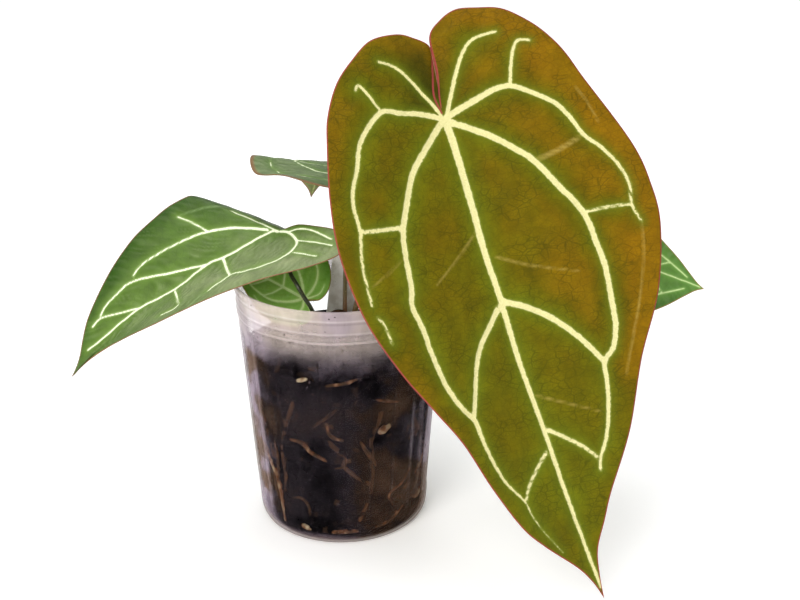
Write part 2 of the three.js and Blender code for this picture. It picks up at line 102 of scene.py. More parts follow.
# Veins as (half width at the base, half width at the end, points along and across the blade)
FRONT_VEINS = [
    (2.3, 0.8, [(1, 0), (7, 0.5), (26, -0.5), (48.5, -2), (68, -3.5), (88.5, -3.5), (111, -4.5),
        (129.5, -4.5), (155, -3.5), (181, -3), (208.5, -1.5), (230, 0)]),
    (1.9, 1.5, [(1, 0), (3, 3.5), (12.5, 16.5), (22.5, 26.5), (32, 34), (46.5, 40.5), (62.5, 47.5),
        (79, 48.5), (91.5, 48.5), (107.5, 46), (117.5, 44.5)]),
    (1.5, 0.7, [(117.5, 44.5), (127.5, 40), (133, 33.5), (142.5, 31.5), (153.5, 28.5), (165, 24), (174, 18),
        (179.5, 16)]),
    (1.7, 1.4, [(91.5, -3.5), (97, 6), (105, 15.5), (115, 23.5), (125, 29.5), (133.5, 33.5)]),
    (1.1, 0.8, [(154.5, -2), (159.5, 4), (167.5, 12), (174.5, 17)]),
    (1.5, 1.2, [(94, -6), (100.5, -12.5), (107.5, -20), (116, -26), (126, -30.5), (138, -36)]),
    (1.0, 0.7, [(164, -6), (170, -13.5), (175.5, -19.5), (181, -23.5)]),
    (1.8, 1.3, [(1.5, -1), (2.5, -3), (11.5, -13.5), (22, -25), (32.5, -32), (47, -40), (57.5, -43),
        (74.5, -46), (82, -48.5), (93.5, -47), (106, -46.5), (119, -45), (130.5, -41.5), (139.5, -36)]),
    (1.3, -0.1, [(139.5, -36), (148, -35.5), (159, -34), (171, -30.5), (181, -24.5), (188.5, -23),
        (196.5, -20), (209, -13.5)]),
    (1.7, 0.6, [(0, -1.5), (-1.5, -3.5), (-5, -12.5), (-7, -22.5), (-9, -30.5), (-3, -40), (5.5, -48),
        (16, -53), (26.5, -59), (35.5, -61), (44, -61.5), (58, -65.5), (67, -66.5), (77.5, -67.5)]),
    (0.5, 0.2, [(83.5, -66.5), (87.5, -64.5), (96, -64)]),
    (0.8, 0.5, [(-10.5, -31.5), (-23, -37), (-21.5, -40)]),
    (1.2, 0.6, [(-1, -1), (-4, -1.5), (-13, -5.5), (-23, -10.5), (-30.5, -16.5), (-33.5, -23.5)]),
    (1.2, 1.0, [(46.5, -41.5), (44.5, -61.5)]),
    (1.3, 0.4, [(-0.5, 1), (-2, 2.5), (-18.5, 12), (-29, 19.5), (-34.5, 27), (-35, 38.5)]),
    (1.9, 1.0, [(0, 1), (-1.5, 5), (-5, 18), (-7.5, 28.5), (-6.5, 37), (0, 46), (8.5, 54.5), (18, 58.5),
        (26.5, 61), (35, 67)]),
    (1.0, 0.3, [(35, 67), (45, 71.5), (56, 73.5), (65.5, 71), (75, 72.5)]),
    (1.0, 0.4, [(-8, 36.5), (-19.5, 41), (-27.5, 46.5), (-26, 52.5)]),
    (0.9, 0.7, [(63, 49), (64, 61), (66, 70.5)]),
]
FRONT_FAINT = [
    (1.1, 0.9, [(32, 35), (30.5, 46.5), (27, 59.5)]),
    (0.3, 0.1, [(3, 66), (14, 69), (24, 70)]),
    (0.3, 0.1, [(75, 72.5), (90, 68), (108, 60), (126, 50), (142, 41)]),
    (0.4, 0.1, [(71, 1), (80, 16), (89, 36)]),
    (0.4, 0.1, [(55, -2), (62, -11), (68, -20), (76, -33)]),
    (0.4, 0.1, [(138, -2), (146, 11), (154, 24)]),
    (0.3, 0.1, [(60, -44), (66, -56), (70, -66)]),
]
LEFT_VEINS = [
    (1.15, 0.4, [(0.5, 0), (3.5, -2.5), (18, -1.5), (29.5, -1.5), (38.5, -3), (58.5, -0.5), (78.5, -4),
        (101.5, -4.5), (113.5, -5.5)]),
    (1.1, 0.5, [(4.5, -5), (17, -14.5), (30, -20.5), (40, -22.5), (51, -23.5), (66.5, -24), (74, -21.5)]),
    (0.8, 0.5, [(38.5, -3), (56.5, -10.5), (75, -19), (84.5, -19), (94, -17.5), (99, -15)]),
    (0.6, 0.3, [(78.5, -4), (92, -10.5), (99.5, -14), (105.5, -13.5)]),
    (0.6, 0.4, [(30, -20.5), (34.5, -29.5), (39.5, -37)]),
    (0.6, 0.2, [(1.5, -2.5), (4.5, -9), (7.5, -14), (15, -26.5)]),
    (1.0, 0.5, [(-0.5, 0.5), (-4, 5), (-5, 15.5), (-0.5, 20.5), (9.5, 24), (23, 20.5), (30.5, 17),
        (43, 21.5)]),
    (0.9, 0.8, [(30.5, -1), (31, 9.5), (30.5, 17)]),
    (0.8, 0.4, [(59, 1), (59, 12.5), (59.5, 18), (69, 16)]),
    (0.5, 0.3, [(-5.5, 14.5), (-12.5, 22.5), (-18.5, 31)]),
    (0.4, 0.2, [(-1, 22.5), (-5.5, 29), (-9.5, 34.5)]),
    (0.7, 0.3, [(-4, 4), (-9.5, 6), (-14.5, 13), (-20, 26.5)]),
]
LEFT_FAINT = [
    (0.4, 0.2, [(12, -28), (26, -34), (38, -37)]),
    (0.4, 0.2, [(43, 21.5), (52, 26), (60, 30)]),
]

# The five leaves: frames, outlines and lifts as in the solids
LEAVES = {
    "front": dict(
        joint=(51, -8, 212.5), tip=(118, -112, 12), roll=0.25, arch=4, fold=0.2, bow=-8.5,
        overlap=1.3, steps=16, rings=60,
        petiole=[(6, 2, 98), (8, 0.5, 114), (17, -1, 141), (35, -1, 180)], petiole_radius=1.7,
        left=[
            (-3, 0), (-12, 1.6), (-24, 4.6), (-41, 7), (-48, 14.5), (-51.5, 24), (-49.5, 34.5),
            (-46, 45), (-38.5, 53.5), (-28.5, 61), (-14.5, 67.5), (2.5, 72.5), (37.5, 82), (58, 83.5),
            (79, 81), (109, 69), (136.5, 51), (166.5, 35), (190.5, 18), (202, 11), (213.5, 4),
            (225, 1.3), (235.5, 0),
        ],
        right=[
            (-3, 0), (-12, -0.6), (-24, 3.2), (-37, 6.5), (-43.5, -1.5), (-46, -10), (-44.5, -24),
            (-36.5, -36.5), (-26, -48.5), (-11, -58.5), (2, -63.5), (27.5, -71), (53, -75),
            (82.5, -73), (109, -64.5), (130.5, -54), (148, -45.5), (170.5, -38.5), (191.5, -30),
            (203.5, -21.5), (218, -8.5), (227, -3), (235.5, 0),
        ],
    ),
    "left": dict(
        joint=(-30, 5, 153.5), tip=(-136, -14.5, 85), roll=-0.38, arch=8, fold=0.22, grow=0.35,
        twist=0.12, curl_right=2.4, steps=13, rings=40, lean=1.3, pitch=5,
        petiole=[(-9, -13, 98), (-14.2, -22, 122), (-17.6, -25, 129.5), (-20.8, -24, 135.5),
                 (-24.4, -16, 139.5)],
        petiole_radius=1.15,
        left=[
            (-3, 0), (-10, 2), (-17, 10), (-24, 20), (-27, 30), (-24, 38), (-17, 41.5), (-8, 41.5),
            (4, 39), (17, 35.5), (30, 33), (44, 30), (58.5, 27), (74, 22), (91, 12), (103, 4.5),
            (115, 0.5), (127.7, 0),
        ],
        right=[
            (-3, 0), (-6, -3), (-8, -8), (-7, -15), (-3, -24), (4, -34), (13, -40.5), (25, -45),
            (39, -45.5), (51, -43), (63, -40), (72, -36.5), (83, -31.5), (96, -24.5), (106, -18.5),
            (113, -12.5), (120, -5.5), (127.7, 0),
        ],
    ),
    "back": dict(
        joint=(14, 26, 174), tip=(-16, 112, 176), roll=0, nod=36, fold=0.16, wave=3, wave_left=2.7,
        wave_right=1, steps=11, rings=26, half_left=54, half_right=46,
        petiole=[(2.2, 4, 98), (2.4, 7, 115), (3.2, 9, 133), (6, 13, 151)], petiole_radius=1.3,
    ),
    "low": dict(
        joint=(-18.2, -8, 122), tip=(-56, 0, 141), roll=-0.55, arch=1, fold=0.1, steps=10, rings=22,
        half_left=22, half_right=31, petiole=[(-4, -5, 99), (-8.5, -8.5, 108)], petiole_radius=1.6,
    ),
    "right": dict(
        joint=(107, 24, 143), tip=(192, 8, 116.7), roll=0.9, arch=4, fold=0.1, wave=1.5,
        wave_right=1.5, steps=11, rings=26, half_left=32, half_right=50,
        petiole=[(5, 7, 98), (10, 10, 116), (28, 20, 141), (58, 32, 152), (88, 38, 146)],
        petiole_radius=1.3,
    ),
}

# Roots: bearing from +X, height where the root meets the wall, turn along the wall, end, radius
ROOTS = [
    (-152, 72, 12, 14, 1.7), (-124, 80, -14, 20, 1.4), (-100, 60, 24, 34, 1.5),
    (-66, 76, -12, 12, 1.4), (-38, 64, 22, 22, 1.6), (-4, 78, -18, 18, 1.5), (32, 68, 40, 16, 1.7),
    (158, 74, -38, 24, 1.6), (182, 58, 8, 12, 1.4),
]


def smoothstep(value, low, high):
    share = np.clip((value - low) / (high - low), 0, 1)
    return share * share * (3 - 2 * share)


def cubic(b, c, leaving, arriving, t):
    """The curve from b to c with the slopes at which it leaves and arrives."""
    return ((2 * b - 2 * c + leaving + arriving) * t ** 3 + (-3 * b + 3 * c - 2 * leaving - arriving) * t ** 2
            + leaving * t + b)


def catmull_rom(points, steps):
    """An even Catmull-Rom curve through the points, as the solids' outlines have."""
    points = np.array(points, float)
    padded = np.vstack([points[:1], points, points[-1:]])
    t = np.arange(steps)[:, None] / steps
    parts = [cubic(b, c, (c - a) / 2, (d - b) / 2, t)
             for a, b, c, d in zip(padded, padded[1:], padded[2:], padded[3:])]
    return np.vstack(parts + [points[-1:]])


def spaced_curve(points, steps):
    """A centripetal Catmull-Rom curve through the points, as the solids' tubes follow."""
    points = np.array(points, float)
    first = 2 * points[0] - points[1]
    last = 2 * points[-1] - points[-2]
    padded = np.vstack([first, points, last])
    t = np.arange(steps)[:, None] / steps
    parts = []
    for a, b, c, d in zip(padded, padded[1:], padded[2:], padded[3:]):
        s0, s1, s2 = (max(np.linalg.norm(q - p), 1e-6) ** 0.5 for p, q in ((a, b), (b, c), (c, d)))
        leaving = ((b - a) / s0 - (c - a) / (s0 + s1) + (c - b) / s1) * s1
        arriving = ((c - b) / s1 - (d - b) / (s1 + s2) + (d - c) / s2) * s1
        parts.append(cubic(b, c, leaving, arriving, t))
    return np.vstack(parts + [points[-1:]])


def steps_along(path):
    """The length of the path up to each of its points."""
    return np.r_[0, np.cumsum(np.linalg.norm(np.diff(path, axis=0), axis=1))]


def resample(points, count):
    along = steps_along(points)
    marks = np.linspace(0, along[-1], count)
    return np.stack([np.interp(marks, along, points[:, k]) for k in range(points.shape[1])], axis=1)


def wave_noise(points, scale, seed):
    """A smooth field of sines between about -1 and 1, the same for the same seed."""
    random = np.random.RandomState(seed)
    total = np.zeros(len(points))
    for octave in range(4):
        direction = random.normal(size=points.shape[1])
        direction /= np.linalg.norm(direction)
        reach = scale / 1.6 ** octave
        shift = random.uniform(0, 2 * math.pi)
        bend = random.normal(size=points.shape[1]) / (2.5 * reach)
        warp = 1.7 * np.sin(points @ bend)
        total += np.sin(points @ direction * 2 * math.pi / reach + shift + warp) / 4
    return 1.6 * total


def add_mesh(name, points, faces, materials, fields=None, face_material=None, smooth=True):
    """An object from points in millimetres, with optional values at its points."""
    mesh = bpy.data.meshes.new(name)
    mesh.from_pydata((np.asarray(points) * MM).tolist(), [], [list(face) for face in faces])
    for key, values in (fields or {}).items():
        values = np.asarray(values, np.float32)
        kind = "FLOAT" if values.ndim == 1 else "FLOAT_VECTOR"
        layer = mesh.attributes.new(key, kind, "POINT")
        layer.data.foreach_set("value" if values.ndim == 1 else "vector", values.ravel())
    for material in materials:
        mesh.materials.append(material)
    if face_material is not None:
        mesh.polygons.foreach_set("material_index", np.asarray(face_material, np.int32))
    mesh.polygons.foreach_set("use_smooth", [smooth] * len(mesh.polygons))
    mesh.update()
    piece = bpy.data.objects.new(name, mesh)
    bpy.context.scene.collection.objects.link(piece)
    return piece


def keep(piece, slot, *nodes):
    """The piece rides on the part and stands for the nodes; the slot is not used."""
    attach(piece, BODY)
    if nodes:
        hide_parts(*nodes)


# Shader helpers
class Shader:
    def __init__(self, name):
        self.material = bpy.data.materials.new(name)
        self.material.use_nodes = True
        self.tree = self.material.node_tree
        self.tree.nodes.clear()
        self.output = self.tree.nodes.new("ShaderNodeOutputMaterial")
        self.surface = self.tree.nodes.new("ShaderNodeBsdfPrincipled")
        self.tree.links.new(self.surface.outputs[0], self.output.inputs[0])

    def set(self, socket, value):
        if isinstance(value, bpy.types.NodeSocket):
            self.tree.links.new(value, socket)
        else:
            socket.default_value = value

    def node(self, kind, inputs=None, **settings):
        made = self.tree.nodes.new("ShaderNode" + kind)
        for key, value in settings.items():
            setattr(made, key, value)
        for key, value in (inputs or {}).items():
            self.set(made.inputs[key], value)
        return made

    def put(self, **values):
        for key, value in values.items():
            self.set(self.surface.inputs[key.replace("_", " ")], value)

    def field(self, name, output="Fac"):
        return self.node("Attribute", attribute_name=name).outputs[output]

    def place(self):
        return self.node("TexCoord").outputs["Object"]

    def stretched(self, vector, scale):
        return self.node("Mapping", {"Vector": vector, "Scale": scale}).outputs[0]

    def math(self, operation, a, b=0.0):
        return self.node("Math", {0: a, 1: b}, operation=operation).outputs[0]

    def times(self, a, b):
        return self.math("MULTIPLY", a, b)

    def plus(self, a, b):
        return self.math("ADD", a, b)

    def most(self, a, b):
        return self.math("MAXIMUM", a, b)

    def sway(self, noise, size):
        """A noise moved to lie about zero, as wide as the size."""
        return self.times(self.math("SUBTRACT", noise, 0.5), size)

    def spread(self, value, low, high, start=0.0, end=1.0):
        made = self.node("MapRange", {0: value, 1: low, 2: high, 3: start, 4: end},
                         interpolation_type="SMOOTHSTEP")
        return made.outputs[0]

    def fade(self, value, low, high):
        return self.spread(value, low, high, 1.0, 0.0)

    def mix(self, share, a, b, blend="MIX"):
        made = self.node("Mix", data_type="RGBA", blend_type=blend)
        for key, value in ((0, share), (6, a), (7, b)):
            self.set(made.inputs[key], value)
        return made.outputs[2]

    def noise(self, vector, scale, detail=2.0, roughness=0.5):
        made = self.node("TexNoise", {"Vector": vector, "Scale": scale, "Detail": detail,
                                                "Roughness": roughness})
        return made.outputs["Fac"]

    def cracks(self, vector, scale):
        made = self.node("TexVoronoi", {"Vector": vector, "Scale": scale},
                         feature="DISTANCE_TO_EDGE")
        return made.outputs["Distance"]

    def ramp(self, value, stops):
        """A colour ramp with stops of position, red, green and blue."""
        made = self.node("ValToRGB", {0: value})
        ends = made.color_ramp.elements
        while len(ends) < len(stops):
            ends.new(0.5)
        for end, (position, *colour) in zip(ends, stops):
            end.position = position
            end.color = srgb(*colour)
        return made.outputs[0]

    def bump(self, height, strength, distance):
        inputs = {"Height": height, "Strength": strength, "Distance": distance}
        return self.node("Bump", inputs).outputs[0]


def srgb(red, green, blue):
    """A colour given as it looks on screen, 0 to 255, for the shaders."""
    linear = [((c / 255 + 0.055) / 1.055) ** 2.4 if c > 10 else c / 255 / 12.92
              for c in (red, green, blue)]
    return (*linear, 1.0)


def leaf_upper(name, panels, veins, margin, gloss, net, halo, jag=0.25, painted_sheen=0.0, band=(0.3, 0.7)):
    """The upper side: panel colours across the blade with painted sheen and shade on its swells, pale veins
    in a glow, fine net, red edge.
    """
    # on all but the front leaf, the cool panel colour is a painted sheen
    cool_and_sheen, middle, warm = panels[:3]
    deep = srgb(*panels[3])
    core, fringe, glow, faint = (srgb(*colour) for colour in veins)
    specular, roughness, sheen = gloss
    s = Shader(name)
    spot = s.field("spot", "Vector")
    drift = s.noise(spot, 0.04, 3.0, 0.55)
    patch = s.noise(spot, 0.12, 4.0, 0.6)
    across = s.plus(s.field("warm"), s.sway(drift, 0.7))
    panel = s.ramp(across, [(0.0, *cool_and_sheen), (0.5, *middle), (1.0, *warm)])
    panel = s.mix(s.field("deep"), panel, deep)
    shade = s.spread(patch, 0.3, 0.75, 0.82, 1.14)
    grey = s.node("CombineColor", {0: shade, 1: shade, 2: shade}).outputs[0]
    panel = s.mix(1.0, panel, grey, "MULTIPLY")
    # painted sheen on the crests of the quilting, most on the cool side, and painted shade in its troughs
    if painted_sheen:
        crest = s.times(s.spread(s.field("quilt"), -0.5, 0.9), s.spread(across, 0.0, 0.75, 1.0, 0.3))
        panel = s.mix(s.times(crest, painted_sheen), panel, srgb(186, 198, 158))
        trough = s.spread(s.field("quilt"), -0.2, -0.9, 0.0, 0.5 * painted_sheen)
        panel = s.mix(trough, panel, deep)
    drawn = s.node("TexNoise", {"Vector": spot, "Scale": 0.35}).outputs["Color"]
    bent = s.node("VectorMath", {0: spot, 1: drawn}, operation="ADD").outputs[0]
    wide = s.stretched(bent, (1.0, 0.55, 1.0))
    coarse = s.fade(s.cracks(wide, 0.3), 0.0, 0.08)
    fine = s.fade(s.cracks(wide, 0.8), 0.0, 0.12)
    fade = s.spread(s.noise(spot, 0.09, 2.0), 0.35, 0.62, 0.4, 1.0)
    mesh_lines = s.times(s.most(coarse, s.times(fine, 0.6)), fade)
    rough_edge = s.sway(s.noise(spot, 0.6, 3.0, 0.65), 1.5 * jag)
    vein_edge = s.plus(s.field("vein"), rough_edge)
    tissue = s.mix(s.times(mesh_lines, net), panel, deep)
    soft = s.fade(s.plus(s.field("faint"), rough_edge), -0.9, 1.1)
    tissue = s.mix(s.times(soft, 0.5), tissue, faint)
    near = s.math("POWER", s.fade(vein_edge, 0.0, 6.0), 1.8)
    tissue = s.mix(s.times(near, halo + 0.2), tissue, glow)
    tissue = s.mix(s.spread(vein_edge, 0.1, 1.0, halo, 0.0), tissue, fringe)
    inside = s.spread(vein_edge, 0.25, -0.2, 0.0, 1.0)
    grain = s.noise(spot, 1.6, 2.0)
    tissue = s.mix(inside, tissue, s.mix(s.spread(grain, 0.3, 0.8, 0.0, 0.3), core, fringe))
    rim = s.fade(s.field("rim"), band[0], band[1])
    tissue = s.mix(s.times(rim, 0.85), tissue, srgb(*margin))
    height = s.plus(s.times(grain, 0.5), s.times(mesh_lines, -0.7))
    height = s.plus(height, s.times(inside, -0.5))
    s.put(Base_Color=tissue, Roughness=s.spread(patch, 0.3, 0.8, roughness - 0.06, roughness + 0.08),
          Normal=s.bump(height, 0.35, 0.0004))
    s.put(Specular_IOR_Level=specular, Sheen_Weight=sheen, Sheen_Roughness=0.35)
    return s.material


def leaf_under(name, tissue_colour, vein, margin):
    """The under side: paler, matt, with the veins standing out green."""
    tissue_colour, vein, margin = srgb(*tissue_colour), srgb(*vein), srgb(*margin)
    s = Shader(name)
    spot = s.field("spot", "Vector")
    patch = s.noise(spot, 0.09, 4.0, 0.6)
    dark = tuple(0.6 * c for c in tissue_colour[:3]) + (1.0,)
    tissue = s.mix(s.spread(patch, 0.3, 0.75), tissue_colour, dark)
    net = s.fade(s.cracks(spot, 0.3), 0.0, 0.07)
    tissue = s.mix(s.times(net, 0.3), tissue, vein)
    tissue = s.mix(s.spread(s.field("vein"), 0.5, -0.3, 0.0, 0.9), tissue, vein)
    tissue = s.mix(s.spread(s.field("rim"), 0.3, 0.9, 0.8, 0.0), tissue, margin)
    s.put(Base_Color=tissue, Roughness=s.spread(patch, 0.3, 0.8, 0.5, 0.68),
          Normal=s.bump(s.plus(net, s.noise(spot, 1.4, 2.0)), 0.3, 0.0004))
    s.put(Specular_IOR_Level=0.35)
    return s.material


def bark_like(name, stops, roughness, grain_scale, grain_depth):
    """Mottled bark or root skin whose tone comes from the field on the points."""
    s = Shader(name)
    place = s.place()
    mottle = s.noise(place, 260.0, 4.0, 0.6)
    tone = s.plus(s.field("tone"), s.sway(mottle, 0.22))
    s.put(Base_Color=s.ramp(tone, stops), Roughness=s.spread(mottle, 0.3, 0.7, roughness - 0.15, roughness),
          Normal=s.bump(s.noise(place, grain_scale, 4.0, 0.65), 0.6, grain_depth))
    s.put(Specular_IOR_Level=0.05)
    return s.material


def stem_like(name, stops, roughness):
    """A petiole: its colour runs along it, with fine lengthwise streaks and small dots."""
    s = Shader(name)
    place = s.place()
    streak = s.noise(s.stretched(place, (1.0, 1.0, 0.12)), 900.0, 3.0, 0.6)
    speck = s.noise(place, 1300.0, 2.0)
    tone = s.plus(s.field("along"), s.sway(streak, 0.45))
    colour = s.mix(s.spread(speck, 0.64, 0.72, 0.0, 0.4), s.ramp(tone, stops), srgb(196, 176, 120))
    s.put(Base_Color=colour, Roughness=s.spread(streak, 0.3, 0.7, roughness - 0.08, roughness + 0.08),
          Normal=s.bump(streak, 0.3, 0.0003))
    s.put(Specular_IOR_Level=0.45)
    return s.material


def pot_plastic():
    """Soft clear plastic: a pale haze above the mix, partly frosted plastic and partly painted light, nearly
    clear where the damp mix lies on it.
    """
    s = Shader("pot_plastic")
    place = s.place()
    x, y, height = (s.node("SeparateXYZ", {0: place}).outputs[k] for k in range(3))
    cloud = s.noise(place, 34.0, 4.0, 0.6)
    streak = s.noise(s.stretched(place, (1.0, 1.0, 0.18)), 120.0, 3.0, 0.6)
    level = s.plus(height, s.sway(cloud, 0.036))
    facing = s.node("LayerWeight", {"Blend": 0.5}).outputs["Facing"]
    # painted light: the pale frosted layer grows with height, for light that comes in at the open top and
    # lights the wall
    frost_and_inner_light = s.spread(level, 0.094, 0.129, 0.0, 0.5)
    frost_and_inner_light = s.times(frost_and_inner_light, s.spread(streak, 0.25, 0.75, 0.8, 1.15))
    haze = s.times(s.spread(cloud, 0.46, 0.75, 0.0, 0.035), s.spread(height, 0.0, 0.1, 0.3, 1.8))
    edge = s.spread(facing, 0.5, 0.8, 0.0, 0.52)
    side_haze = s.spread(facing, 0.25, 0.6, 0.0, 0.035)
    alpha = s.most(s.plus(s.plus(frost_and_inner_light, haze), side_haze), edge)
    flanks = s.most(s.spread(x, 0.0, 0.030, 0.15, 1.0), s.spread(x, -0.026, -0.042))
    murk = s.times(s.spread(s.noise(place, 27.0, 4.0, 0.65), 0.4, 0.68), flanks)
    murk = s.times(murk, s.fade(height, 0.092, 0.104))
    colour = s.mix(s.spread(cloud, 0.35, 0.7), srgb(204, 189, 180), srgb(180, 166, 174))
    # painted shade: darker lilac low on the wall just above the mix, where less light reaches it
    colour = s.mix(s.fade(height, 0.098, 0.116), colour, srgb(160, 144, 160))

    def line(value, at, half):
        away = s.math("ABSOLUTE", s.math("SUBTRACT", value, at))
        return s.fade(away, 0.0, half)

    # painted shade and painted highlight lines beside the flutes, then painted highlights on the collar's
    # rings with painted shade below them, the tinted foot and specks of dirt
    bearing = s.math("ARCTAN2", x, s.times(y, -1.0))
    turned = s.math("DIVIDE", s.math("SUBTRACT", bearing, FLUTE_CENTRE), FLUTE_PITCH)
    away = s.math("SUBTRACT", s.math("FRACT", s.plus(turned, 0.5)), 0.5)
    crease = s.math("ABSOLUTE", away)
    band = s.times(s.spread(height, 0.010, 0.018), s.fade(height, 0.100, 0.109))
    band = s.times(band, s.spread(s.noise(place, 50.0, 2.0), 0.35, 0.6, 0.35, 1.0))
    # painted shade along each flute's crease, and a painted highlight line just beside it
    crease_shade = s.times(line(crease, FLUTE_HALF / FLUTE_PITCH, 0.010), band)
    crease_highlight = s.times(line(crease, FLUTE_HALF / FLUTE_PITCH + 0.022, 0.009), band)
    # painted highlights on the collar's ring beads and painted shade in a line just below each
    rings, ring_shade = 0.0, 0.0
    for rise in (0.8, *RING_HEIGHTS):
        rings = s.most(rings, line(height, (SHOULDER + rise) * MM, 0.0008))
        ring_shade = s.most(ring_shade, line(height, (SHOULDER + rise - 1.5) * MM, 0.0010))
    foot = s.fade(s.plus(height, s.times(cloud, 0.006)), 0.003, 0.010)
    dots = s.node("TexVoronoi", {"Vector": place, "Scale": 330.0}).outputs["Distance"]
    dirt = s.times(s.fade(dots, 0.12, 0.18), s.spread(s.noise(place, 70.0, 2.0), 0.56, 0.62))
    # each coat: its share of the colour, the colour, where it covers and how densely
    coats = [
        (s.spread(murk, 0.0, 0.25), (112, 84, 66), murk, 0.2),
        # painted shade below the rings, painted highlights on the rings and creases, painted shade in the
        # creases
        (s.times(ring_shade, 0.3), (118, 104, 106), rings, 0.42),
        (s.times(s.most(rings, crease_highlight), 0.4), (240, 230, 230), crease_highlight, 0.02),
        (s.spread(crease_shade, 0.0, 0.12), (20, 14, 20), crease_shade, 0.5),
        (s.times(foot, 0.85), (122, 92, 62), foot, 0.36),
        (dirt, (62, 44, 36), dirt, 0.8),
    ]
    for share, tone, cover, densest in coats:
        colour = s.mix(share, colour, srgb(*tone))
        alpha = s.most(alpha, s.times(cover, densest))
    s.put(Base_Color=colour, Alpha=alpha, Roughness=s.spread(cloud, 0.3, 0.7, 0.24, 0.4),
          Normal=s.bump(streak, 0.05, 0.0005))
    s.put(Specular_IOR_Level=0.06, IOR=1.45)
    return s.material


def tag_plastic():
    s = Shader("tag_plastic")
    place = s.place()
    grime = s.noise(place, 160.0, 5.0, 0.65)
    fleck = s.noise(place, 900.0, 2.0)
    colour = s.mix(s.spread(grime, 0.35, 0.75), srgb(244, 242, 238), srgb(214, 208, 200))
    colour = s.mix(s.spread(fleck, 0.68, 0.74, 0.0, 0.6), colour, srgb(84, 72, 62))
    s.put(Base_Color=colour, Roughness=s.spread(grime, 0.3, 0.7, 0.38, 0.6),
          Normal=s.bump(grime, 0.2, 0.0004))
    return s.material


def floor_white():
    s = Shader("studio_floor")
    spot = s.noise(s.place(), 3.0, 2.0)
    white = s.mix(spot, srgb(252, 252, 252), srgb(250, 250, 250))
    away = s.node("VectorMath", {0: s.place()}, operation="LENGTH").outputs["Value"]
    s.put(Base_Color=white, Emission_Color=white, Emission_Strength=s.spread(away, 0.2, 1.4, 0.2, 0.65))
    s.put(Roughness=0.9)
    s.put(Specular_IOR_Level=0.1)
    return s.material


# Leaf blades
def leaf_axes(leaf):
    joint = np.array(leaf["joint"], float)
    along = np.array(leaf["tip"], float) - joint
    length = np.linalg.norm(along)
    along /= length
    level = np.cross((0, 0, 1), along)
    level /= np.linalg.norm(level)
    upright = np.cross(along, level)
    across = level * math.cos(leaf["roll"]) + upright * math.sin(leaf["roll"])
    return joint, along, across, np.cross(along, across), length


def midline(leaf, t):
    return leaf.get("bow", 0) * 4 * t * (1 - t)


def lift(leaf, length, side, u, w):
    """How far the blade's middle surface stands off its flat frame, as in the solids."""
    t = u / length
    off = w - midline(leaf, t)
    reach = np.abs(off)
    bend = leaf.get("arch", 0) * 4 * t * (1 - t) * np.where(t > 0, 1, 0.6)
    bend -= leaf.get("nod", 0) * np.maximum(t, 0) ** 4
    fold = (leaf["fold"] + leaf.get("grow", 0) * t) * (np.hypot(off, FOLD_ROUNDING) - FOLD_ROUNDING)
    beyond = np.maximum(0, 0.55 * reach - 0.84 * u)
    curl = np.where(off > 0, 0, leaf.get("curl_right", 0))
    drop = curl * (np.hypot(beyond, LOBE_ROUNDING) - LOBE_ROUNDING)
    phase = np.where(off > 0, leaf.get("wave_left", 0), leaf.get("wave_right", 0))
    share = np.minimum(reach / leaf.get("half_left", 50), 1.5)
    swell = leaf.get("wave", 0) * np.sin(4 * math.pi * t + phase) * share ** 2
    lap = leaf.get("overlap", 0) * side * smoothstep(-u, 3, 21)
    return bend + fold + leaf.get("twist", 0) * t * off - drop + swell + lap


def segment_gap(u, w, start, end):
    """Each point's distance to a straight piece, and the share of it where the foot lies."""
    (a, b), (c, d) = start, end
    run = max((c - a) ** 2 + (d - b) ** 2, 1e-9)
    share = np.clip(((u - a) * (c - a) + (w - b) * (d - b)) / run, 0, 1)
    return np.hypot(u - a - share * (c - a), w - b - share * (d - b)), share


def path_gap(u, w, veins):
    """For each point, the distance to the nearest vein's edge, below zero inside the vein."""
    gap = np.full(u.shape, FAR)
    for wide, thin, points in veins:
        curve = catmull_rom(points, 5)
        last = len(curve) - 1
        box_low, box_high = curve.min(0) - VEIN_REACH, curve.max(0) + VEIN_REACH
        near = (u > box_low[0]) & (u < box_high[0]) & (w > box_low[1]) & (w < box_high[1])
        best = gap[near]
        for k in range(last):
            reach, share = segment_gap(u[near], w[near], curve[k], curve[k + 1])
            best = np.minimum(best, reach - (wide + (thin - wide) * (k + share) / last))
        gap[near] = best
    return gap


def rim_gap(u, w, outline):
    gap = np.full(u.shape, FAR)
    for start, end in zip(outline, outline[1:]):
        gap = np.minimum(gap, segment_gap(u, w, start, end)[0])
    return gap


def heart_veins(leaf, length, width):
    """Main veins of a juvenile blade: midrib, two arching pairs, lobe veins and laterals."""
    veins = [(width, 0.3 * width, [(share * length, 0) for share in (0, 0.3, 0.65, 0.97)])]
    for half in (leaf["half_left"], -leaf["half_right"]):
        for wide, thin, path in HEART_VEINS:
            veins.append((wide * width, thin * width, [(a * length, b * half) for a, b in path]))
        for start, end in ((0.28, 0.43), (0.48, 0.62), (0.66, 0.76)):
            at = np.interp(end, *zip(*HEART_VEINS[0][2][2:]))
            path = [(start * length, 0), ((0.55 * start + 0.45 * end) * length, 0.55 * at * half),
                    (end * length, at * half)]
            veins.append((0.55 * width, 0.4 * width, path))
    return veins


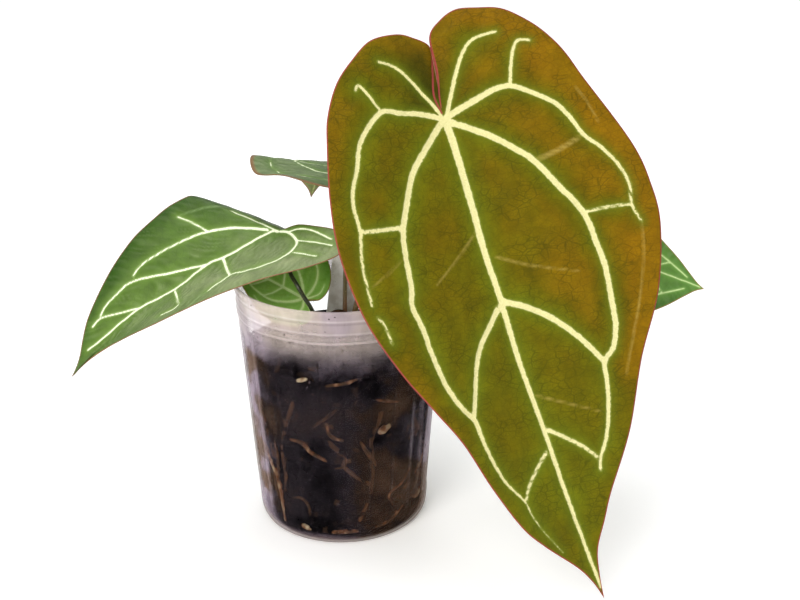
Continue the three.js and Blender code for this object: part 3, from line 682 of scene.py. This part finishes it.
def quilting(leaf, length, u, w, seed):
    """The swell between the fine side veins, from -1 in the troughs to 1 on the crests."""
    off = w - midline(leaf, u / length)
    reach = np.hypot(off, 4)
    flat = np.stack([u, w], axis=1)
    drift = 0.7 * wave_noise(flat, 50, seed + 5) + 0.25 * wave_noise(flat, 22, seed + 6)
    run = (u - leaf.get("lean", 0.9) * reach) / leaf.get("pitch", 6.5)
    strength = np.clip(0.45 + 0.75 * wave_noise(flat, 24, seed + 7), 0, 1)
    return np.clip(np.sin(2 * math.pi * (run + drift)) * strength, -1, 1)


def outlines(leaf, length):
    """The two halves' dense outlines and the line from which both halves spread."""
    halves = []
    for key, sign in (("left", 1), ("right", -1)):
        listed = leaf.get(key) or [(a * length, sign * b * leaf[f"half_{key}"]) for a, b in HEART]
        halves.append(catmull_rom(listed, leaf["steps"]))
    left, right = halves
    mean = (left[:, 0] + right[:, 0]) / 2
    width = (np.abs(left[:, 1]) + np.abs(right[:, 1])) / 2
    spine_u = np.maximum(0, mean - SPINE_PULL * width)
    spine_u[-1] = length
    return left, right, np.stack([spine_u, midline(leaf, spine_u / length)], axis=1)


def normals(leaf, length, sides, u, w, base):
    slope_u = (lift(leaf, length, sides, u + SLOPE_STEP, w) - base) / SLOPE_STEP
    slope_w = (lift(leaf, length, sides, u, w + SLOPE_STEP) - base) / SLOPE_STEP
    size = np.sqrt(slope_u ** 2 + slope_w ** 2 + 1)
    return np.stack([-slope_u / size, -slope_w / size, 1 / size], axis=1)


def blade_relief(u, w, gap, quilt, puff, ripple, seed):
    """Raised panels, sunk veins, swells between the side veins and some waviness."""
    flat = np.stack([u, w], axis=1)
    relief = (puff * (1 - np.exp(-(np.maximum(gap, 0) / 5) ** 1.3))
              - puff * np.exp(-(np.maximum(gap + 1, 0) / 1.6) ** 2))
    relief += ripple * quilt * smoothstep(gap, 0, 3)
    return relief + (0.25 * wave_noise(flat, 38, seed) + 0.10 * wave_noise(flat, 9, seed + 1))


def half_faces(rows, rings, start, flipped):
    """Top, bottom and edge faces of one half, whose lower points follow its upper ones."""
    count = rows * (rings + 1)
    index = np.arange(count).reshape(rows, rings + 1) + start
    top = np.stack([index[:-1, :-1], index[1:, :-1], index[1:, 1:], index[:-1, 1:]], axis=-1).reshape(-1, 4)
    near, far = index[:-1, -1], index[1:, -1]
    wall = np.stack([near, near + count, far + count, far], axis=-1)
    if flipped:
        top, wall = top[:, ::-1], wall[:, ::-1]
    return top, top[:, ::-1] + count, wall[:, ::-1]


def weld(points, faces, owners, fields):
    """One point for each place on a fine grid, and no face that shrinks to a line."""
    places = np.round(points * WELD_GRID).astype(np.int64)
    _, first, back = np.unique(places, axis=0, return_index=True, return_inverse=True)
    clean_faces, clean_owners = [], []
    for face, owner in zip(back.ravel()[faces].tolist(), owners.tolist()):
        unique = list(dict.fromkeys(face))
        if len(unique) > 2:
            clean_faces.append(unique)
            clean_owners.append(int(owner))
    return points[first], clean_faces, clean_owners, {key: values[first] for key, values in fields.items()}


def blade(name, leaf, veins, faint, materials, puff, ripple, warmth, depth, seed):
    """A dense closed blade on the solid's own surface, with its veins sunk and panels raised."""
    joint, along, across, out, length = leaf_axes(leaf)
    left, right, spine = outlines(leaf, length)
    rows, rings = len(left), leaf["rings"]
    share = (np.arange(rings + 1) / rings)[None, :, None]
    points, faces, owners = [], [], []
    fields = {key: [] for key in ("vein", "faint", "rim", "warm", "deep", "quilt", "spot")}
    count = 0
    for side, outline in ((1, left), (-1, right)):
        grid = spine[:, None] + (outline[:, None] - spine[:, None]) * share
        u, w = grid[..., 0].ravel(), grid[..., 1].ravel()
        sides = np.full((rows, rings + 1), float(side))
        sides[0], sides[-1], sides[:, 0] = 0, 0, 0
        sides = sides.ravel()
        gap = path_gap(u, w, veins)
        quilt = quilting(leaf, length, u, w, seed)
        rim = rim_gap(u, w, outline)
        soft = path_gap(u, w, faint)
        inner = smoothstep(rim, 0.5, 7)
        relief = blade_relief(u, w, gap, quilt, puff, ripple, seed) * inner
        base = lift(leaf, length, sides, u, w)
        normal = normals(leaf, length, sides, u, w, base)
        t = np.clip(u / length, 0, 1)
        keel = KEEL * (1 - t) * np.exp(-((w - midline(leaf, u / length)) / KEEL_WIDTH) ** 2)
        thick = HALF_THICKNESS * (0.35 + 0.65 * smoothstep(rim, 0, 1.4))
        under_rib = 0.3 * np.exp(-(np.maximum(gap + 0.4, 0) / 1.2) ** 2) * inner
        middle = np.stack([u, w, base], axis=1)
        found = dict(vein=gap, faint=soft, rim=rim, warm=warmth(u / length, w, rim, gap), quilt=quilt,
                     deep=depth(u / length, w), spot=np.stack([u, w, np.full_like(u, 13.0 * seed)], axis=1))
        for offset in (relief + thick, relief - thick - keel - under_rib):
            local = middle + normal * offset[:, None]
            points.append(joint + local[:, :1] * along + local[:, 1:2] * across + local[:, 2:] * out)
            for key, values in found.items():
                fields[key].append(values)
        top, bottom, wall = half_faces(rows, rings, count, side < 0)
        faces += [top, bottom, wall]
        owners += [np.zeros(len(top)), np.ones(len(bottom)), np.zeros(len(wall))]
        count += 2 * len(u)
    fields = {key: np.concatenate(parts) for key, parts in fields.items()}
    points, faces, owners, values = weld(np.vstack(points), np.vstack(faces), np.concatenate(owners), fields)
    return add_mesh(name, points, faces, materials, values, owners)


# Tubes
def skin_faces(rows, sides):
    """Faces over rings of points that a first and a last point close, both listed at the end."""
    faces = []
    for i in range(rows - 1):
        for k in range(sides):
            n = (k + 1) % sides
            faces.append((i * sides + k, i * sides + n, (i + 1) * sides + n, (i + 1) * sides + k))
    first, last = rows * sides, rows * sides + 1
    for k in range(sides):
        n = (k + 1) % sides
        faces.append((first, n, k))
        faces.append((last, (rows - 1) * sides + k, (rows - 1) * sides + n))
    return faces


def tube(path, radii, sides=14):
    """A closed round bar along a path of points, with a radius at each."""
    path = np.asarray(path, float)
    radii = np.asarray(radii, float)
    direction = np.gradient(path, axis=0)
    direction /= np.linalg.norm(direction, axis=1)[:, None]
    normal = np.cross(direction[0], (0.3, 0.9, 0.2))
    normal /= np.linalg.norm(normal)
    rings = []
    for point, forward, radius in zip(path, direction, radii):
        normal = normal - forward * (normal @ forward)
        normal /= np.linalg.norm(normal)
        other = np.cross(forward, normal)
        angle = np.arange(sides) * 2 * math.pi / sides
        rings.append(point + radius * (np.cos(angle)[:, None] * normal + np.sin(angle)[:, None] * other))
    points = np.vstack(rings + [path[:1], path[-1:]])
    along = np.r_[np.repeat(np.linspace(0, 1, len(path)), sides), 0, 1]
    return points, skin_faces(len(path), sides), along


def join(parts):
    """Several (points, faces, field) as one."""
    points, faces, fields, shift = [], [], [], 0
    for part_points, part_faces, part_field in parts:
        points.append(part_points)
        faces += [tuple(shift + i for i in face) for face in part_faces]
        fields.append(part_field)
        shift += len(part_points)
    return np.vstack(points), faces, np.concatenate(fields)


def petiole(name, leaf, material):
    joint, _, _, out, _ = leaf_axes(leaf)
    end = 0.4 + KEEL + 0.1 + 0.25 * leaf.get("curl_right", 0)
    points = [*leaf["petiole"], joint - out * (end + 7), joint - out * end]
    path = resample(spaced_curve(points, 24), 110)
    along = steps_along(path)
    radius = leaf["petiole_radius"]
    knuckle = 0.22 * np.exp(-((along[-1] - 5 - along) / 4.5) ** 2)
    foot = 0.18 * np.exp(-along / 8)
    flutter = 0.03 * wave_noise(path, 30, 5)
    radii = radius * (0.9 + knuckle + foot + flutter)
    points, faces, field = tube(path, radii)
    piece = add_mesh(f"stalk_{name}", points, faces, [material], {"along": field})
    slot = "petiole_red" if name == "front" else "petiole_green"
    keep(piece, slot, f"petiole_{name}")


# Turned shapes
def soften(profile, rounds):
    points = np.array(profile, float)
    for _ in range(rounds):
        near = 0.75 * points[:-1] + 0.25 * points[1:]
        far = 0.25 * points[:-1] + 0.75 * points[1:]
        inner = np.stack([near, far], axis=1).reshape(-1, 2)
        points = np.vstack([points[:1], inner[1:-1], points[-1:]])
    return points


def turn(profile, sides):
    """A closed turned shape from [radius, height] pairs that start and end on the axis."""
    profile = np.asarray(profile, float)
    angle = np.arange(sides) * 2 * math.pi / sides
    middle = profile[1:-1]
    x = middle[:, :1] * np.cos(angle)[None]
    y = middle[:, :1] * np.sin(angle)[None]
    z = np.repeat(middle[:, 1:], sides, axis=1)
    points = np.stack([x, y, z], axis=-1).reshape(-1, 3)
    points = np.vstack([points, [[0, 0, profile[0, 1]], [0, 0, profile[-1, 1]]]])
    return points, skin_faces(len(middle), sides)


def wall_radius(height):
    return POT_BASE_RADIUS + (POT_TOP_RADIUS - POT_BASE_RADIUS) * height / POT_HEIGHT


def pot_profile():
    """The wall's outside from the floor's middle up to the lip, then its inside back down."""
    collar = SHOULDER + 0.8
    foot = POT_BASE_RADIUS - FOOT_WIDTH
    outside = [
        (0, 0), (HUB_RADIUS, 0), (HUB_RADIUS + HUB_FLARE, FLOOR_RISE), (foot - 4.6, FLOOR_RISE),
        (foot - 3.4, 0), (POT_BASE_RADIUS - 3.4, 0), (POT_BASE_RADIUS - 1.2, 0.9),
        (POT_BASE_RADIUS - 0.1, 3), (wall_radius(6), 6),
    ]
    panel_heights = np.linspace(FLUTE_BOTTOM, SHOULDER - 1, 26)
    outside += [(wall_radius(height), height) for height in panel_heights]
    outside.append((wall_radius(collar) - 0.2 + COLLAR_STEP, collar))
    for rise in RING_HEIGHTS:
        height = SHOULDER + rise
        radius = wall_radius(height) - 0.1
        outside += [(radius, height - 1.1), (radius + RING_BEAD, height), (radius, height + 1.1)]
    outside += [(POT_TOP_RADIUS + 0.1, POT_HEIGHT - 2.2), (POT_TOP_RADIUS + 0.7, POT_HEIGHT - 1.4),
                (POT_TOP_RADIUS + 0.7, POT_HEIGHT - 0.4), (POT_TOP_RADIUS, POT_HEIGHT)]
    inside = [(POT_TOP_RADIUS - POT_WALL, POT_HEIGHT - 0.4)]
    inside += [(wall_radius(height) - POT_WALL, height) for height in reversed(panel_heights)]
    inside += [
        (wall_radius(6) - POT_WALL, 6), (POT_BASE_RADIUS - 1.2, 3), (POT_BASE_RADIUS - 3.4, POT_WALL),
        (foot - 3, POT_WALL), (foot - 4.4, FLOOR_RISE + POT_WALL),
        (HUB_RADIUS + HUB_FLARE - 0.4, FLOOR_RISE + POT_WALL), (HUB_RADIUS - 0.4, POT_WALL), (0, POT_WALL),
    ]
    return soften(outside + inside, 1)


def flute_depth(bearing, height):
    """How deep the wall's shallow panels are pressed in, by bearing from -Y and height."""
    half_pitch = FLUTE_PITCH / 2
    away = np.abs((bearing - FLUTE_CENTRE + half_pitch) % FLUTE_PITCH - half_pitch)
    band = smoothstep(height, FLUTE_BOTTOM, FLUTE_BOTTOM + 6)
    band *= 1 - smoothstep(height, SHOULDER - 9, SHOULDER - 4)
    return FLUTE_DEPTH * (1 - smoothstep(away, FLUTE_HALF - 0.02, FLUTE_HALF + 0.04)) * band


def press_wall(points):
    """The flutes and the slight waviness of a soft pot, on points of the wall."""
    radius = np.hypot(points[:, 0], points[:, 1])
    height = points[:, 2]
    bearing = np.arctan2(points[:, 0], -points[:, 1])
    on_wall = (radius > POT_BASE_RADIUS - 2) & (height > 4)
    around = np.stack([3 * np.cos(bearing), 3 * np.sin(bearing), height / 30], axis=1)
    sag = 0.22 * (wave_noise(around, 4, 3) - 1)
    move = np.where(on_wall, -flute_depth(bearing, height) + sag * smoothstep(height, 4, 20), 0)
    scale = 1 + move / np.maximum(radius, 1)
    points[:, :2] *= scale[:, None]
    return points


def make_pot(material):
    points, faces = turn(pot_profile(), POT_SIDES)
    piece = add_mesh("pot_shell", press_wall(points), faces, [material])
    keep(piece, "pot_plastic", "nursery_pot")


def mix_edge(height):
    return wall_radius(height) - POT_WALL - FLUTE_DEPTH - MIX_INSET


def heap_height(radius):
    rise = MIX_CROWN_HEIGHT - MIX_EDGE_HEIGHT
    return MIX_EDGE_HEIGHT + rise * (1 - np.minimum(1, radius / HEAP_RADIUS) ** 1.6)


def back_dip(y):
    """The mix has settled towards the back of the pot."""
    return 3 + 6 * smoothstep(y, 5, 45)


def chip(random, size):
    """A small broken slab of bark."""
    base = np.array([(x, y, z) for z in (-1, 1) for y in (-1, 1) for x in (-1, 1)], float)
    base *= (1, random.uniform(0.45, 0.8), random.uniform(0.22, 0.45))
    base += random.normal(scale=0.13, size=base.shape)
    spin = np.array(Vector(random.normal(size=3)).to_track_quat("Z", "Y").to_matrix())
    faces = [(0, 2, 3, 1), (4, 5, 7, 6), (0, 1, 5, 4), (2, 6, 7, 3), (0, 4, 6, 2), (1, 3, 7, 5)]
    return size * base @ spin.T, faces


def make_mix(material):
    """The dark heap with bark chips all over its top and pressed against the wall."""
    random = np.random.RandomState(11)
    floor = FLOOR_RISE + POT_WALL + 0.3
    profile = [(0, floor), (POT_BASE_RADIUS - FOOT_WIDTH - 6, floor), (POT_BASE_RADIUS - 5, 1.4),
               (POT_BASE_RADIUS - 3.6, 1.4), (POT_BASE_RADIUS - 2, 3.6)]
    profile += [(mix_edge(height), height) for height in np.linspace(8, MIX_EDGE_HEIGHT - 2, 44)]
    rim = mix_edge(MIX_EDGE_HEIGHT) - 2
    profile += [(radius, float(heap_height(radius))) for radius in np.linspace(rim, 1.5, 24)]
    profile += [(0, MIX_CROWN_HEIGHT)]
    points, faces = turn(profile, 150)
    rough = wave_noise(points, 9, 21) + 0.7 * wave_noise(points, 4, 22)
    radius = np.hypot(points[:, 0], points[:, 1])
    side = (points[:, 2] > 6) & (radius > 30)
    scale = 1 + np.where(side, 0.55 * rough - 0.6, 0) / np.maximum(radius, 1)
    points[:, :2] *= scale[:, None]
    top = points[:, 2] > MIX_EDGE_HEIGHT - 3
    points[:, 2] += np.where(top, rough - 1.2 - back_dip(points[:, 1]), 0)
    parts = [(points, faces, np.clip(0.12 + 0.1 * rough, 0, 0.3))]

    def scatter(count, place, sizes):
        for _ in range(count):
            size = random.uniform(*sizes)
            shape, shape_faces = chip(random, size)
            tone = random.beta(1.1, 4.2)
            parts.append((place(shape, size), shape_faces, np.full(len(shape), tone)))

    def on_top(shape, size):
        angle = random.uniform(0, 2 * math.pi)
        radius = (HEAP_RADIUS + 0.5) * math.sqrt(random.uniform(0.02, 1))
        x, y = radius * math.cos(angle), radius * math.sin(angle)
        at = (x, y, heap_height(radius) + 0.15 * size - float(back_dip(y)))
        return shape + at

    def on_wall(shape, size):
        angle = random.uniform(0, 2 * math.pi)
        height = random.uniform(5, MIX_EDGE_HEIGHT - 3 - float(back_dip(48 * math.sin(angle))))
        outward = np.array((math.cos(angle), math.sin(angle), 0))
        depth = shape @ outward
        shape = shape - outward * (0.6 * depth)[:, None]
        limit = mix_edge(height) + 0.6
        return shape + outward * (limit - (shape @ outward).max()) + (0, 0, height)

    scatter(TOP_CHIPS, on_top, (1.2, 4.2))
    scatter(WALL_CHIPS, on_wall, (0.8, 3.6))
    points, faces, tone = join(parts)
    piece = add_mesh("bark_heap", points, faces, [material], {"tone": tone}, smooth=False)
    keep(piece, "bark_mix", "potting_mix")


def root_path(bearing, meet, turning, end, radius):
    """From the stem out to the wall and down along it, swaying a little."""
    def wall(height):
        return wall_radius(height) - POT_WALL - FLUTE_DEPTH - 0.8 - radius

    def at(angle, reach, height):
        angle = math.radians(angle)
        return (reach * math.cos(angle), reach * math.sin(angle), height)

    points = [(*STEM_CENTRE, STEM_BOTTOM + 12), at(bearing, 0.45 * wall(meet), meet + 12),
              at(bearing, 0.82 * wall(meet), meet + 5)]
    for share in (0, 0.25, 0.5, 0.75, 1):
        height = meet + (end - meet) * share
        sway = 3 * math.sin(7 * share + bearing)
        points.append(at(bearing + turning * share + sway, wall(height), height))
    return points


def make_stem(material):
    """The short ringed stem and the thick roots."""
    rings = [(0, 0), (0.55, 2), (0.85, 9), (0.78, 13), (0.98, 18), (0.84, 22), (1, 27), (0.72, 31),
             (0.3, 33.6), (0, STEM_LENGTH)]
    profile = [(share * STEM_RADIUS, STEM_BOTTOM + height) for share, height in rings]
    points, faces = turn(soften(profile, 2), 40)
    points[:, :2] *= (1 + 0.03 * wave_noise(points, 5, 31) - 0.03)[:, None]
    points[:, :2] += STEM_CENTRE
    parts = [(points, faces, np.full(len(points), 0.35))]
    for k, (bearing, meet, turning, end, radius) in enumerate(ROOTS):
        path = resample(spaced_curve(root_path(bearing, meet, turning, end, radius), 14), 80)
        thick = radius * (0.94 - 0.25 * np.linspace(0, 1, 80) ** 3 + 0.05 * wave_noise(path, 14, 40 + k))
        shape, shape_faces, along = tube(path, thick, 12)
        parts.append((shape, shape_faces, 0.12 + 0.2 * along + 0.08 * wave_noise(shape, 17, 60 + k)))
    points, faces, tone = join(parts)
    piece = add_mesh("crown_and_roots", points, faces, [material], {"tone": tone})
    keep(piece, "root", "stem_and_roots")


# Fine roots and bits against the wall: radius, tone and points as (bearing from -Y, height)
WALL_ROOTS = [
    (1.2, 0.72, [(-70.6, 49.6), (-56.9, 40.7), (-50.0, 31.7), (-47.4, 16.9), (-47.1, 6.0)]),
    (0.9, 0.60, [(-49.0, 54.7), (-47.7, 44.0), (-48.0, 32.4)]),
    (1.1, 0.66, [(-35.1, 58.7), (-26.6, 58.5), (-20.2, 53.6), (-10.6, 49.5)]),
    (1.0, 0.62, [(-9.6, 70.4), (-7.8, 64.6), (0.3, 61.7)]),
    (1.1, 0.50, [(-18.0, 68.8), (-3.3, 79.4)]),
    (0.8, 0.58, [(-37.0, 23.3), (-29.8, 25.0), (-25.0, 21.8), (-24.3, 15.6)]),
    (1.2, 0.80, [(-26.7, 93.5), (-20.2, 95.3)]),
    (0.9, 0.62, [(-9.5, 92.4), (1.9, 93.9), (8.5, 95.8)]),
    (0.9, 0.64, [(19.7, 83.1), (34.8, 78.8)]),
    (2.1, 0.72, [(22.5, 63.0), (26, 65), (30.6, 66.1)]),
    (1.1, 0.60, [(10.6, 59.9), (16.0, 52.2), (20.7, 45.2)]),
    (0.7, 0.62, [(49.4, 35.9), (41.5, 29.4), (31.3, 25.2), (34.8, 17.7)]),
    (1.0, 0.60, [(44.5, 14.4), (32.3, 8.8), (21.8, 7.1)]),
    (1.2, 0.70, [(-9.3, 6.4), (0.2, 7.0), (9.3, 6.6)]),
    (1.2, 0.72, [(-31.7, 8.0), (-24.1, 6.5)]),
    (0.6, 0.55, [(-4.0, 54.7), (1.1, 51.6), (-0.0, 46.6), (-5.5, 45.6)]),
]
SEEN_BEARING = 62


def make_wall_roots(material):
    """Thin root ends and fibres that show through the wall, also round the unseen sides."""
    random = np.random.RandomState(17)
    routes = list(WALL_ROOTS)
    for _ in range(70):
        bearing, height = random.uniform(-180, 180), random.uniform(12, 90)
        if abs(bearing) < SEEN_BEARING:
            continue
        heading, points = random.uniform(0, 2 * math.pi), [(bearing, height)]
        for _ in range(random.randint(2, 5)):
            heading += random.normal(scale=0.5)
            bearing += 9 * math.cos(heading)
            height = min(93, max(7, height + 8 * math.sin(heading)))
            points.append((bearing, height))
        routes.append((random.uniform(0.5, 1.2), random.uniform(0.45, 0.72), points))
    parts = []
    for radius, tone, points in routes:
        route = []
        for bearing, height in points:
            reach = wall_radius(height) - POT_WALL - FLUTE_DEPTH - 0.25 - 0.8 * radius
            angle = math.radians(bearing)
            route.append((reach * math.sin(angle), -reach * math.cos(angle), height))
        path = resample(spaced_curve(route, 12), 10 * len(route))
        ends = np.sin(np.linspace(0.12, math.pi - 0.12, len(path))) ** 0.35
        shape, shape_faces, _ = tube(path, radius * ends * (1 + 0.12 * wave_noise(path, 8, 71)), 8)
        parts.append((shape, shape_faces, tone + 0.1 * wave_noise(shape, 11, 72)))
    points, faces, tone = join(parts)
    piece = add_mesh("fine_roots", points, faces, [material], {"tone": tone})
    keep(piece, "root")


# Tag
TAG_WIDTH = 14.3
TAG_LENGTH = 125
TAG_THICKNESS = 0.8
TAG_POINT = 16
TAG_CORNER = 2
TAG_TOP = (4, 15, 140)
TAG_LEAN_SIDE = math.radians(7)
TAG_LEAN_BACK = math.radians(-3)


def make_tag(material):
    """The stake with rounded top corners and soft edges, on the solid's place."""
    half = TAG_WIDTH / 2
    corner = TAG_CORNER
    arc = [(half - corner + corner * math.sin(a), -corner + corner * math.cos(a))
           for a in np.linspace(0, math.pi / 2, 7)]
    right = arc + [(half, -k) for k in np.linspace(8, TAG_LENGTH - TAG_POINT, 12)]
    outline = right + [(0, -TAG_LENGTH)] + [(-x, z) for x, z in reversed(right)]
    rows = []
    for depth, inset in ((-0.5, 0.25), (-0.22, 0.0), (0.22, 0.0), (0.5, 0.25)):
        rows.append([(x * (1 - inset / half), depth * TAG_THICKNESS, z) for x, z in outline])
    points = np.array(rows).reshape(-1, 3)
    count = len(outline)
    faces = [tuple(range(count)), tuple(reversed(range(3 * count, 4 * count)))]
    for row in range(3):
        for k in range(count):
            n = (k + 1) % count
            faces.append((row * count + k, (row + 1) * count + k, (row + 1) * count + n, row * count + n))
    c, s = math.cos(TAG_LEAN_SIDE), math.sin(TAG_LEAN_SIDE)
    x, y, z = points.T
    x, z = c * x + s * z, -s * x + c * z
    c, s = math.cos(TAG_LEAN_BACK), math.sin(TAG_LEAN_BACK)
    y, z = c * y - s * z, s * y + c * z
    points = np.stack([x, y, z], axis=1) + TAG_TOP
    piece = add_mesh("bare_tag", points, faces, [material], smooth=False)
    keep(piece, "tag_plastic", "plant_tag")


# Camera, light and floor, in metres
CAMERA_PLACE = (0, -0.53066, 0.32547)
CAMERA_TURN = (math.pi / 2 - 0.3734, 0, -0.0576)
WORLD_STRENGTH = 0.42
FLOOR_SIZE = 12
LIT_POINT = (0.03, 0, 0.13)
LIGHTS = [
    ("key", (-0.45, -0.9, 1.05), 0.7, 8, (1.0, 0.985, 0.96)),
    ("low_fill", (-0.55, -0.85, 0.32), 0.5, 5, (1.0, 0.985, 0.97)),
    ("fill", (0.9, -0.7, 0.6), 0.8, 3, (1.0, 0.97, 0.94)),
    ("top", (-0.1, 0.35, 1.3), 0.9, 9, (0.97, 0.985, 1.0)),
]


def make_camera():
    camera = bpy.data.cameras.new("camera")
    camera.lens = 50
    camera.sensor_width = 36
    holder = bpy.data.objects.new("camera", camera)
    holder.location = CAMERA_PLACE
    holder.rotation_euler = CAMERA_TURN
    bpy.context.scene.collection.objects.link(holder)
    bpy.context.scene.camera = holder


def add_light(name, place, size, power, colour):
    light = bpy.data.lights.new(name, "AREA")
    light.shape = "SQUARE"
    light.size = size
    light.energy = power
    light.color = colour
    holder = bpy.data.objects.new(name, light)
    holder.location = place
    holder.rotation_euler = (Vector(LIT_POINT) - Vector(place)).to_track_quat("-Z", "Y").to_euler()
    bpy.context.scene.collection.objects.link(holder)


def make_studio():
    scene = bpy.context.scene
    scene.view_settings.view_transform = "Standard"
    world = bpy.data.worlds.new("studio")
    world.use_nodes = True
    sky = world.node_tree.nodes["Background"].inputs
    sky[0].default_value = (1.0, 1.0, 1.0, 1.0)
    sky[1].default_value = WORLD_STRENGTH
    scene.world = world
    for light in LIGHTS:
        add_light(*light)
    bpy.ops.mesh.primitive_plane_add(size=FLOOR_SIZE)
    floor = bpy.context.object
    floor.name = "floor"
    floor.data.materials.append(floor_white())


def front_warmth(t, w, rim, gap):
    """Brown to orange on the right and along the margin, greener towards the tip and the veins."""
    tip = smoothstep(t, 0.4, 0.8)
    warm = 0.2 + 0.3 * smoothstep(w, -10, 60) * (1 - tip)
    warm += (0.2 + 0.2 * smoothstep(w, -20, 40)) * (1 - smoothstep(rim, 4, 24)) * (1 - 0.8 * tip)
    warm += 0.3 * smoothstep(gap, 2, 11) * (1 - 0.6 * tip)
    return np.clip(warm, 0, 1)


def front_depth(t, w):
    """Deep green beside the notch of the base, on the left lobe most."""
    notch = np.exp(-((w + 2) / 13) ** 2) * smoothstep(-t, -0.02, 0.05) * (1 - smoothstep(-t, 0.12, 0.2))
    return 0.75 * notch * (1 - 0.5 * smoothstep(w, 0, 6))


# Painted sheen: the half with w above zero goes towards the pale cool panel, the other half towards the deep
# warm one, a little warmer near the margin
def sheen_across(t, w, rim, gap):
    return np.clip(0.42 - w / 110 + 0.15 * (1 - smoothstep(rim, 0, 12)), 0, 1)


def no_depth(t, w):
    return 0 * t


def thinner(veins, share, least):
    """The veins at a share of their width, and none that is drawn all along below the least."""
    return [(max(least, share * wide), max(least, share * thin) if thin > 0 else thin, points)
            for wide, thin, points in veins]


# The blades' upper sides: panels cool (on all but the front leaf a painted sheen), middle, warm and deep;
# veins' core, fringe, glow and the faint ones; gloss as specular level, roughness and sheen
UPPER_LOOKS = {
    "front": dict(
        name="leaf_bronze", gloss=(0.05, 0.55, 0.0), margin=(150, 62, 62), jag=0.75, net=0.45, halo=0.32,
        panels=[(94, 100, 12), (96, 86, 5), (126, 92, 6), (40, 46, 4)],
        veins=[(216, 208, 152), (150, 160, 74), (90, 104, 22), (178, 156, 78)]),
    "left": dict(
        name="leaf_green", gloss=(0.16, 0.42, 0.08), margin=(132, 84, 60), net=0.15, painted_sheen=0.16, halo=0.35,
        panels=[(146, 154, 114), (82, 108, 42), (38, 70, 8), (28, 54, 8)],
        veins=[(240, 246, 214), (160, 184, 114), (96, 126, 48), (140, 166, 110)]),
    "back": dict(
        name="leaf_shaded", gloss=(0.14, 0.42, 0.05), margin=(126, 88, 58), net=0.15, painted_sheen=0.2, halo=0.35,
        band=(0.8, 2.8), panels=[(112, 130, 84), (66, 94, 38), (38, 68, 14), (28, 54, 8)],
        veins=[(236, 244, 206), (150, 178, 106), (88, 120, 48), (130, 156, 100)]),
    # the low leaf's panels are partly its own light green and partly painted light shining through it
    "low": dict(
        name="leaf_fresh_and_lit", gloss=(0.2, 0.3, 0.0), margin=(150, 120, 60), net=0.12, painted_sheen=0.12, halo=0.55,
        panels=[(176, 216, 112), (136, 188, 78), (84, 146, 44), (34, 88, 20)],
        veins=[(214, 240, 168), (176, 214, 120), (140, 192, 88), (140, 186, 92)]),
    "right": dict(
        name="leaf_tender", gloss=(0.2, 0.35, 0.0), margin=(150, 120, 60), net=0.12, painted_sheen=0.2, halo=0.4,
        panels=[(112, 150, 66), (80, 124, 42), (46, 92, 22), (28, 66, 14)],
        veins=[(206, 232, 160), (150, 190, 104), (104, 152, 66), (140, 186, 92)]),
}
VEIN_WIDTHS = {"back": 1.0, "low": 0.9, "right": 0.8}
RED_STALK = [(0.0, 104, 96, 40), (0.25, 84, 40, 30), (0.6, 66, 30, 26), (1.0, 120, 84, 40)]
OLIVE_STALK = [(0.0, 128, 66, 44), (0.3, 96, 84, 40), (0.7, 110, 104, 48), (1.0, 140, 150, 74)]
DARK_STALK = [(0.0, 86, 96, 36), (0.3, 44, 50, 24), (0.8, 38, 44, 22), (1.0, 90, 110, 50)]


def make_leaves():
    bronze_under = leaf_under("leaf_bronze_under", (150, 142, 84), (196, 194, 140), (150, 80, 70))
    green_under = leaf_under("leaf_green_under", (112, 122, 52), (160, 168, 92), (150, 96, 70))
    for name, leaf in LEAVES.items():
        upper = leaf_upper(**UPPER_LOOKS[name])
        under, slot, depth = green_under, "leaf_green", no_depth
        if name == "front":
            under, slot, depth = bronze_under, "leaf_bronze", front_depth
            veins, faint = thinner(FRONT_VEINS, 0.82, 0.55), FRONT_FAINT
            puff, ripple, warmth = 0.4, 0.06, front_warmth
        elif name == "left":
            veins, faint = thinner(LEFT_VEINS, 0.7, 0.36), LEFT_FAINT
            puff, ripple, warmth = 0.5, 0.14, sheen_across
        else:
            veins, faint = heart_veins(leaf, leaf_axes(leaf)[4], VEIN_WIDTHS[name]), []
            puff, ripple, warmth = 0.35, 0.2, sheen_across
        look = (upper, under)
        piece = blade(f"leaf_{name}", leaf, veins, faint, look, puff, ripple, warmth, depth, len(name) + 3)
        keep(piece, slot, f"blade_{name}")


def make_petioles():
    red = stem_like("petiole_red", RED_STALK, 0.4)
    olive = stem_like("petiole_olive", OLIVE_STALK, 0.42)
    dark = stem_like("petiole_dark", DARK_STALK, 0.36)
    looks = {"front": red, "back": olive, "left": dark, "low": olive, "right": olive}
    for name, leaf in LEAVES.items():
        petiole(name, leaf, looks[name])


# Tones from the dampest to the driest
SOIL_TONES = [(0.0, 4, 3, 5), (0.3, 11, 8, 9), (0.5, 26, 18, 15), (0.75, 58, 42, 30), (1.0, 130, 106, 78)]
ROOT_TONES = [(0.0, 30, 20, 14), (0.35, 62, 42, 28), (0.6, 134, 88, 46), (0.8, 184, 150, 104),
              (1.0, 214, 196, 158)]
FINE_TONES = [(0.0, 12, 9, 9), (0.4, 26, 18, 15), (0.6, 58, 41, 28), (0.7, 96, 62, 42),
              (0.8, 140, 122, 98), (1.0, 190, 176, 150)]

make_camera()
make_studio()
make_pot(pot_plastic())
make_mix(bark_like("bark", SOIL_TONES, 0.95, 420.0, 0.0012))
make_stem(bark_like("root_skin", ROOT_TONES, 0.8, 700.0, 0.0006))
make_wall_roots(bark_like("fine_root_skin", FINE_TONES, 0.8, 700.0, 0.0006))
make_tag(tag_plastic())
make_leaves()
make_petioles()

bpy.context.view_layer.update()
